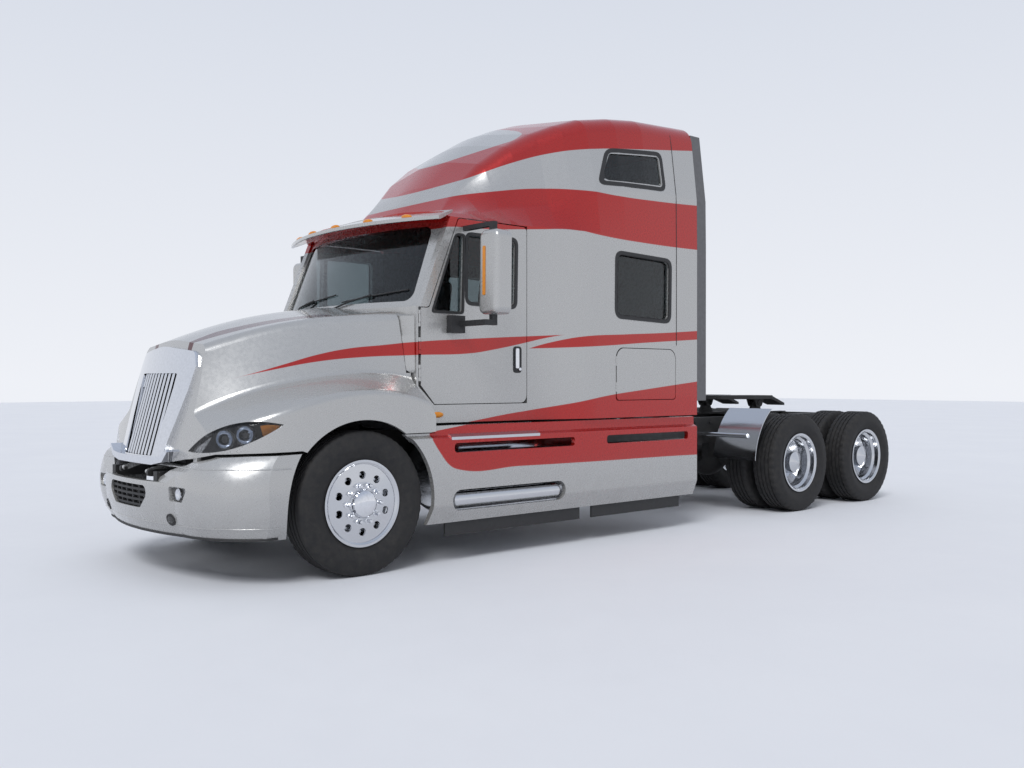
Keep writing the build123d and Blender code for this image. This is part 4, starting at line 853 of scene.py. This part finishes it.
# Bowl, bulb and rim as (outwards, radius)
BOWL = [(-0.003, 0.0), (-0.003, BOWL_R), (0.046, BOWL_R), (0.046, BOWL_R - 0.004)]
for out, share in (
    (0.030, 0.86), (0.014, 0.66), (0.005, 0.42), (0.001, 0.2), (0.020, 0.18), (0.026, 0.12), (0.028, 0.0),
):
    BOWL.append((out, BOWL_R * share))
BULB = [(0.024, 0.024), (0.034, 0.024), (0.040, 0.019), (0.042, 0.0)]
RIM = rectangle(0.040, BOWL_R + 0.007, 0.050, BOWL_R - 0.003)
lamp_skin = skin("headlamps")


def lamp_spot(sign, u, z, depth):
    start = at(LAMP_MIDDLE["x"], LAMP_MIDDLE["y"], z) + LAMP_AXIS * u + LAMP_NORMAL * LAMP_AHEAD
    hit = lamp_skin.ray_cast(start, -LAMP_NORMAL)[0]
    if hit is None:
        hit = start - LAMP_NORMAL * LAMP_MISS
    spot = hit - LAMP_NORMAL * depth
    return Vector((sign * spot.x, spot.y, spot.z))


for side, sign in SIDES:
    facing = Vector((sign * LAMP_NORMAL.x, LAMP_NORMAL.y, 0.0))
    mesh = bmesh.new()
    bucket = [lamp_spot(sign, u, z, LAMP_DEPTH["bucket"]) for u, z in LAMP_TOP + LAMP_LOW]
    prism(mesh, bucket, facing * -0.004)
    piece(f"lamp_bucket_{side}", mesh, PLASTIC, "hood")
    bowls, bulbs = bmesh.new(), bmesh.new()
    for bowl in LAMP_BOWLS:
        spot = lamp_spot(sign, bowl["u"], bowl["z"], LAMP_DEPTH["bowl"])
        turned(bowls, BOWL, spot, facing, 40)
        turned(bulbs, BULB, spot, facing, 28)
        turned(bulbs, RIM, spot, facing, 40, closed=True)
    piece(f"lamp_bowls_{side}", bowls, REFLECTOR, "hood", 25.0)
    piece(f"lamp_bulbs_{side}", bulbs, PLASTIC, "hood")
    mesh = bmesh.new()
    corner = [lamp_spot(sign, u, z, LAMP_DEPTH["corner"]) for u, z in LAMP_CORNER]
    prism(mesh, corner, facing * -0.012)
    piece(f"lamp_turn_{side}", mesh, AMBER, "hood")

# Rounded bright caps over the grille's upright bars
GRILLE_FOOT = at(0, -1.13, 0.82)
GRILLE_UP = Vector((0, 0.27, 1.0)).normalized()
GRILLE_BACK = Vector((0, 1.0, -0.27)).normalized()
GRILLE_RADIUS = 1.9175
BARS_EACH_SIDE = 5
BAR_PITCH = 0.055
BAR_FACE = 0.020
BAR_WIDE = 0.0145
BAR_PROUD = 0.007
BAR_END_GAP = 0.004
BAR_ROOT_SHARE = 0.6
BAR_ROOT_SINK = 0.006
BAR_ARC_STEPS = 8
GRILLE_LOW = dict(z=0.835, half=0.252)
GRILLE_TOP = dict(z=1.392, half=0.302)


def grille_spot(x, z, lift):
    bow = GRILLE_RADIUS - math.sqrt(GRILLE_RADIUS ** 2 - x * x)
    back = BAR_FACE + bow - lift
    rise = (z - GRILLE_FOOT.z - GRILLE_BACK.z * back) / GRILLE_UP.z
    return GRILLE_FOOT + Vector((x, 0, 0)) + GRILLE_BACK * back + GRILLE_UP * rise


mesh = bmesh.new()
slant = (GRILLE_TOP["half"] - GRILLE_LOW["half"]) / (GRILLE_TOP["z"] - GRILLE_LOW["z"])
arc = [math.pi * k / BAR_ARC_STEPS for k in range(BAR_ARC_STEPS + 1)]
for i in range(-BARS_EACH_SIDE, BARS_EACH_SIDE + 1):
    middle = BAR_PITCH * i
    low = GRILLE_LOW["z"]
    low = max(low, low + (abs(middle) + BAR_WIDE + BAR_END_GAP - GRILLE_LOW["half"]) / slant)
    rows = []
    for z in (low, GRILLE_TOP["z"]):
        row = [grille_spot(middle - BAR_WIDE * math.cos(a), z, BAR_PROUD * math.sin(a)) for a in arc]
        for root in (BAR_WIDE * BAR_ROOT_SHARE, -BAR_WIDE * BAR_ROOT_SHARE):
            row.append(grille_spot(middle + root, z, -BAR_ROOT_SINK))
        rows.append([mesh.verts.new(spot) for spot in row])
    bridge(mesh, *rows)
    mesh.faces.new(rows[0])
    mesh.faces.new(rows[1])
piece("grille_caps", mesh, CHROME, "hood", 50.0)

# Lamps set in the bumper: places as (x, z), forms as (outwards, radius)
AHEAD_Y = -2.5
BUMPER_LAMP = (0.57, 0.43)
BUMPER_LAMP_R = 0.029
BEZEL = [(-0.004, 0.042), (0.005, 0.042), (0.007, 0.034), (0.003, 0.030)]
FOG_LAMP = (0.665, 0.603)
FOG_BOWL = [(0.002, 0.038), (0.012, 0.040), (0.014, 0.036), (0.004, 0.022), (0.002, 0.0)]
bumper_skin = skin("bumper")
fog_skin = skin("fog_lamps")
visor_skin = skin("sun_visor")
for side, sign in SIDES:
    spot, normal = landing(bumper_skin, at(sign * BUMPER_LAMP[0], AHEAD_Y, BUMPER_LAMP[1]), (0, 1, 0))
    mesh = bmesh.new()
    turned(mesh, BEZEL, spot, normal, 40)
    piece(f"bumper_bezel_{side}", mesh, PLASTIC, "chassis")
    mesh = bmesh.new()
    dome(mesh, spot + normal * 0.002, normal, Vector((1, 0, 0)), BUMPER_LAMP_R, BUMPER_LAMP_R, 0.012)
    piece(f"bumper_lamp_{side}", mesh, CLEAR, "chassis")
    spot, normal = landing(fog_skin, at(sign * FOG_LAMP[0], AHEAD_Y, FOG_LAMP[1]), (0, 1, 0))
    mesh = bmesh.new()
    turned(mesh, FOG_BOWL, spot, normal, 36)
    piece(f"fog_bowl_{side}", mesh, CHROME, "chassis")

# Pressed lines round the bumper and a black lip along its lower edge, cast from an arc around its middle
BUMPER_MIDDLE_Y = -0.45
BUMPER_ARC_R = 2.4
BUMPER_ARC_HALF = 88
ARCH_R = 0.60
ARCH_GAP = 0.03
BUMPER_LINES = [
    dict(name="bumper_line_high", z=0.775, radius=0.0045, material=PLAIN, slot="body_paint"),
    dict(name="bumper_line_low", z=0.395, radius=0.0045, material=PLAIN, slot="body_paint"),
    dict(name="bumper_lip", z=0.322, radius=0.010, material=PLASTIC, slot="black_plastic"),
]


def around_bumper(z, steps=96):
    """Points on the bumper's skin at one height, from the right wheel arch round to the left."""
    centre = at(0, BUMPER_MIDDLE_Y, z)
    arch = -math.sqrt(ARCH_R ** 2 - (z - WHEEL_Z) ** 2) - ARCH_GAP + AXLE
    out = []
    for i in range(steps + 1):
        angle = math.radians(-BUMPER_ARC_HALF + 2 * BUMPER_ARC_HALF * i / steps)
        ahead = Vector((math.sin(angle), -math.cos(angle), 0))
        hit = bumper_skin.ray_cast(centre + ahead * BUMPER_ARC_R, -ahead)[0]
        if hit is not None and hit.y < arch:
            out.append(hit)
    return out


for line in BUMPER_LINES:
    spots = around_bumper(line["z"])
    run(line["name"], spots, line["radius"], line["material"], "chassis")

# Amber markers along the visor and on the sills
VISOR_MARKER_XS = (-0.80, -0.42, 0.0, 0.42, 0.80)
VISOR_MARKER_Z = 2.575
CAB_AHEAD_Y = -1.0
SILL_MARKER = dict(x=1.05, y=0.715, z=1.09)
mesh = bmesh.new()
for x in VISOR_MARKER_XS:
    spot, normal = landing(visor_skin, at(x, CAB_AHEAD_Y, VISOR_MARKER_Z), (0, 1, 0))
    dome(mesh, spot, normal, Vector((1, 0, 0)), 0.062, 0.020, 0.020)
piece("visor_markers", mesh, AMBER, "chassis")
for side, sign in SIDES:
    mesh = bmesh.new()
    spot = at(sign * SILL_MARKER["x"], SILL_MARKER["y"], SILL_MARKER["z"])
    dome(mesh, spot, Vector((sign, 0, 0)), Vector((0, 1, 0)), 0.055, 0.022, 0.014)
    piece(f"sill_marker_{side}", mesh, AMBER, "chassis")

# Wipers lying on the windscreen: arm foot and blade ends as (x, z)
WIPERS = [
    dict(name="wiper_near", foot=(0.14, 1.905), ends=((0.20, 1.955), (0.86, 2.02))),
    dict(name="wiper_far", foot=(-0.62, 1.905), ends=((-0.56, 1.955), (0.08, 2.02))),
]
BLADE_STEPS = 12
BLADE_LIFT = 0.009
ARM_LIFT = dict(foot=0.012, blade=0.022)
ARM_BOW = Vector((0, -0.02, 0.004))
screen_skin = skin("fixed_glass", "cab_front")


def on_screen(x, z, lift):
    spot, normal = landing(screen_skin, at(x, CAB_AHEAD_Y, z), (0, 1, 0))
    return spot + normal * lift


for wiper in WIPERS:
    (x0, z0), (x1, z1) = wiper["ends"]
    blade = []
    for i in range(BLADE_STEPS + 1):
        x, z = (a + (b - a) * i / BLADE_STEPS for a, b in ((x0, x1), (z0, z1)))
        blade.append(on_screen(x, z, BLADE_LIFT))
    run(f"{wiper['name']}_blade", blade, 0.006, PLASTIC, "chassis")
    middle = on_screen((x0 + x1) / 2, (z0 + z1) / 2, ARM_LIFT["blade"])
    start = on_screen(*wiper["foot"], ARM_LIFT["foot"])
    arm = [start, start.lerp(middle, 0.5) + ARM_BOW, middle]
    run(f"{wiper['name']}_arm", arm, 0.007, PLASTIC, "chassis")

# Black window frames with rubber beads on the doors and the sleeper: panes as (y, z)
DOOR_PANES = [
    dict(corners=[(0.676, 1.86), (0.95, 1.86), (0.966, 2.44), (0.892, 2.44)], turn=0.02, wide=0.016),
    dict(corners=[(1.0, 1.94), (1.48, 1.93), (1.49, 2.45), (1.0, 2.45)], turn=0.045, wide=0.024),
]
DOOR_BEAD_X = 1.047
SLEEPER_PANE = [(2.505, 1.90), (3.18, 1.88), (3.19, 2.40), (2.51, 2.42)]
SLEEPER_X = 1.1998
SLEEPER_BEAD_X = 1.197
FRAME_PROUD = 0.0035
for side, sign in SIDES:
    proud = Vector((sign * FRAME_PROUD, 0, 0))
    for index, glass in enumerate(DOOR_PANES):
        inner = rounded(glass["corners"], glass["turn"])
        outer = rounded(grown(glass["corners"], glass["wide"]), glass["turn"] + glass["wide"])
        mesh = bmesh.new()
        band_ring(mesh, outer, inner, lambda y, z: at(sign * DOOR_X, y, z), proud)
        piece(f"door_pane_frame_{index}_{side}", mesh, PLASTIC, f"door_{side}")
        bead = [at(sign * DOOR_BEAD_X, y, z) for y, z in inner]
        name = f"door_pane_bead_{index}_{side}"
        run(name, bead, 0.006, TYRE, f"door_{side}", closed=True)
    inner = rounded(SLEEPER_PANE, 0.065)
    outer = rounded(grown(SLEEPER_PANE, 0.03), 0.09)
    mesh = bmesh.new()
    band_ring(mesh, outer, inner, lambda y, z: at(sign * SLEEPER_X, y, z), proud)
    piece(f"sleeper_pane_frame_{side}", mesh, PLASTIC, "chassis")
    bead = [at(sign * SLEEPER_BEAD_X, y, z) for y, z in inner]
    run(f"sleeper_pane_bead_{side}", bead, 0.007, TYRE, "chassis", closed=True)

# Frames of the upper sleeper windows, laid on the curved shell
BESIDE_X = 3.0
SHELL_X = 1.2
SHELL_LEAST_X = 0.9
UPPER_PANE = [(2.40, 3.045), (3.10, 3.07), (3.09, 3.33), (2.50, 3.282)]
UPPER_FRAME = dict(inner=0.012, inner_turn=0.05, outer=0.048, outer_turn=0.08)
UPPER_SINK = 0.0005
shell_skin = skin("sleeper_sides", "roof_cap")


def on_shell(sign, y, z):
    hit = shell_skin.ray_cast(at(sign * BESIDE_X, y, z), Vector((-sign, 0, 0)))[0]
    if hit is None or hit.x * sign < SHELL_LEAST_X:
        hit = shell_skin.find_nearest(at(sign * SHELL_X, y, z))[0]
    return hit + Vector((-sign * UPPER_SINK, 0, 0))


inner = divided(rounded(grown(UPPER_PANE, UPPER_FRAME["inner"]), UPPER_FRAME["inner_turn"]))
outer = divided(rounded(grown(UPPER_PANE, UPPER_FRAME["outer"]), UPPER_FRAME["outer_turn"]))
for side, sign in SIDES:
    mesh = bmesh.new()
    band_ring(mesh, outer, inner, lambda y, z: on_shell(sign, y, z), Vector((sign * 0.004, 0, 0)))
    piece(f"upper_pane_frame_{side}", mesh, PLASTIC, "chassis")

# Cowl fillers: a painted strip on each side between the hood's rear edge and the cab's front corner
COWL_ROWS = 24
COWL_LOW_Z = 1.40
COWL_STEP_Z = 0.02
COWL_LEAST_X = 0.85
COWL_LEAST_GAP = 0.018
COWL_STEP_Y = 0.004
HOOD_EDGE_Y = dict(start=0.56, stop=0.25)
CAB_EDGE_Y = dict(start=0.36, stop=0.62)
COWL_SINK = 0.004
COWL_THICK = 0.006
COWL_LAP = dict(hood=0.008, cab=0.012)
hood_skin = skin("hood")
cowl_skin = skin("cab_front", "cab_floor")


def first_side_hit(tree, sign, z, start, stop, step):
    """The first point, going along y, where a side ray meets the tree's outer skin."""
    y = start
    while (stop - y) * step > 0:
        hit = tree.ray_cast(at(sign * BESIDE_X, y, z), Vector((-sign, 0, 0)))[0]
        if hit is not None and hit.x * sign > COWL_LEAST_X:
            return y, hit.x * sign
        y += step
    return None


for side, sign in SIDES:
    rows = []
    for i in range(COWL_ROWS):
        z = COWL_LOW_Z + COWL_STEP_Z * i
        edge = first_side_hit(hood_skin, sign, z, **HOOD_EDGE_Y, step=-COWL_STEP_Y)
        wall = first_side_hit(cowl_skin, sign, z, **CAB_EDGE_Y, step=COWL_STEP_Y)
        if edge and wall and wall[0] - edge[0] > COWL_LEAST_GAP:
            ahead = at(sign * (edge[1] - COWL_SINK), edge[0] + COWL_LAP["hood"], z)
            behind = at(sign * (wall[1] - COWL_SINK), wall[0] + COWL_LAP["cab"], z)
            rows.append((ahead, behind))
    if len(rows) > 1:
        mesh = bmesh.new()
        inward = Vector((-sign * COWL_THICK, 0, 0))
        loops = []
        for ahead, behind in rows:
            loops.append([mesh.verts.new(spot) for spot in (ahead, behind, behind + inward, ahead + inward)])
        for low, high in zip(loops, loops[1:]):
            bridge(mesh, low, high)
        mesh.faces.new(loops[0])
        mesh.faces.new(loops[-1])
        piece(f"cowl_filler_{side}", mesh, PAINT, "chassis")

# Panel seam near the sleeper's rear corner
SEAM = dict(y=3.285, low=1.66, high=3.56, steps=28, least_x=1.0, proud=0.0002)
for side, sign in SIDES:
    line = []
    for i in range(SEAM["steps"] + 1):
        z = SEAM["low"] + (SEAM["high"] - SEAM["low"]) * i / SEAM["steps"]
        hit = shell_skin.ray_cast(at(sign * BESIDE_X, SEAM["y"], z), Vector((-sign, 0, 0)))[0]
        if hit is not None and abs(hit.x) > SEAM["least_x"]:
            line.append(hit + Vector((sign * SEAM["proud"], 0, 0)))
    run(f"panel_seam_{side}", line, 0.0035, PLASTIC, "chassis", resolution=2)

# Amber strips on the mirrors, as (x, z)
MIRROR_STRIP = rounded([(1.334, 1.97), (1.364, 1.97), (1.366, 2.33), (1.336, 2.33)], 0.012)
MIRROR_FRONT_Y = 0.911
for side, sign in SIDES:
    mesh = bmesh.new()
    prism(mesh, [at(sign * x, MIRROR_FRONT_Y, z) for x, z in MIRROR_STRIP], Vector((0, 0.006, 0)))
    piece(f"mirror_strip_{side}", mesh, AMBER, f"door_{side}")

# Bright tread plates on the step ledge, with raised ribs, and an edge strip below as (x, z)
TREAD_PLATE = rounded(rectangle(1.075, 0.725, 1.118, 1.605), 0.008)
TREAD_Z = 1.0098
TREAD_THICK = 0.004
EDGE_STRIP = [
    (1.160, 0.947), (1.198, 0.928), (1.1998, 0.910), (1.204, 0.910), (1.204, 0.931), (1.162, 0.952),
]
EDGE_STRIP_Y = 0.73
EDGE_STRIP_LONG = 0.88
RIB_COUNT = 34
RIB_PITCH = 0.0255
RIB = dict(x0=1.080, x1=1.113, y=0.745, wide=0.010, z=1.0136, tall=0.0025)
for side, sign in SIDES:
    mesh = bmesh.new()
    prism(mesh, [at(sign * x, y, TREAD_Z) for x, y in TREAD_PLATE], Vector((0, 0, TREAD_THICK)))
    prism(mesh, [at(sign * x, EDGE_STRIP_Y, z) for x, z in EDGE_STRIP], Vector((0, EDGE_STRIP_LONG, 0)))
    for i in range(RIB_COUNT):
        y = RIB["y"] + RIB_PITCH * i
        outline = rounded(rectangle(RIB["x0"], y, RIB["x1"], y + RIB["wide"]), 0.004, 3)
        prism(mesh, [at(sign * a, b, RIB["z"]) for a, b in outline], Vector((0, 0, RIB["tall"])))
    piece(f"step_tread_{side}", mesh, POLISHED, "chassis")

# Tail lamps on the rear bar, and bolt heads along the rails as (outwards, radius)
TAIL_XS = (-0.33, -0.20, 0.20, 0.33)
TAIL_Y = 7.3398
TAIL_Z = 0.645
BOLT_ROWS_Z = (0.745, 0.905)
BOLTS = dict(x=0.4299, y=3.78, pitch=0.248, count=15)
BOLT_WASHER = [(0.0, 0.017), (0.003, 0.017), (0.004, 0.0135)]
BOLT_HEAD = [(0.003, 0.0125), (0.011, 0.0120), (0.013, 0.0095)]
mesh = bmesh.new()
for x in TAIL_XS:
    dome(mesh, at(x, TAIL_Y, TAIL_Z), Vector((0, 1, 0)), Vector((1, 0, 0)), 0.042, 0.034, 0.004)
piece("tail_lenses", mesh, RED_LENS, "chassis")
mesh = bmesh.new()
for side, sign in SIDES:
    for i in range(BOLTS["count"]):
        for z in BOLT_ROWS_Z:
            centre = at(sign * BOLTS["x"], BOLTS["y"] + BOLTS["pitch"] * i, z)
            turned(mesh, BOLT_WASHER, centre, (sign, 0, 0), 20)
            turned(mesh, BOLT_HEAD, centre, (sign, 0, 0), HEX)
piece("rail_bolts", mesh, FRAME_BLACK, "chassis")

# Cushions over the seat frames and the bunk, with the pedestals and the base below them
CAB_FLOOR_Z = 1.0898
SEAT_X = 0.48
SEAT_BASE = dict(half=0.245, y0=1.265, y1=1.76, z0=1.44, z1=1.555)
SEAT_BACK = dict(half=0.24, half_thick=0.06, tall=0.74, foot_y=1.725, foot_z=1.515)
SEAT_LEAN = math.atan2(0.10, 0.73)
PEDESTAL = rounded(rectangle(-0.18, 1.35, 0.18, 1.76), 0.03)
PEDESTAL_TALL = 0.352
BUNK = dict(half=1.095, y0=2.645, y1=3.525, z0=1.652, z1=1.755)
BUNK_BASE = rounded(rectangle(-0.59, 2.64, 0.59, 3.53), 0.02)
BUNK_BASE_TALL = 0.561
for side, sign in SIDES:
    middle = sign * SEAT_X
    mesh = bmesh.new()
    low = at(middle - SEAT_BASE["half"], SEAT_BASE["y0"], SEAT_BASE["z0"])
    high = at(middle + SEAT_BASE["half"], SEAT_BASE["y1"], SEAT_BASE["z1"])
    cushion(mesh, low, high, 0.012, 0.045)
    thing = piece(f"seat_cushion_{side}", mesh, SEAT_CLOTH, "chassis", 60.0)
    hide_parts("seats")
    mesh = bmesh.new()
    low = Vector((middle - SEAT_BACK["half"], -SEAT_BACK["half_thick"], 0.0))
    high = Vector((middle + SEAT_BACK["half"], SEAT_BACK["half_thick"], SEAT_BACK["tall"]))
    cushion(mesh, low, high, 0.010, 0.048)
    for vert in mesh.verts:
        x, y, z = vert.co
        vert.co = at(
            x,
            SEAT_BACK["foot_y"] + y * math.cos(SEAT_LEAN) + z * math.sin(SEAT_LEAN),
            SEAT_BACK["foot_z"] - y * math.sin(SEAT_LEAN) + z * math.cos(SEAT_LEAN),
        )
    piece(f"seat_back_{side}", mesh, SEAT_CLOTH, "chassis", 60.0)
    mesh = bmesh.new()
    prism(mesh, [at(middle + a, b, CAB_FLOOR_Z) for a, b in PEDESTAL], Vector((0, 0, PEDESTAL_TALL)))
    bevel(piece(f"seat_pedestal_{side}", mesh, PLASTIC, "chassis"), 0.006)
mesh = bmesh.new()
low = at(-BUNK["half"], BUNK["y0"], BUNK["z0"])
high = at(BUNK["half"], BUNK["y1"], BUNK["z1"])
cushion(mesh, low, high, 0.010, 0.05, 20)
piece("bunk_mattress", mesh, BUNK_CLOTH, "chassis", 60.0)
mesh = bmesh.new()
prism(mesh, [at(a, b, CAB_FLOOR_Z) for a, b in BUNK_BASE], Vector((0, 0, BUNK_BASE_TALL)))
bevel(piece("bunk_base", mesh, TRIM, "chassis"), 0.006)
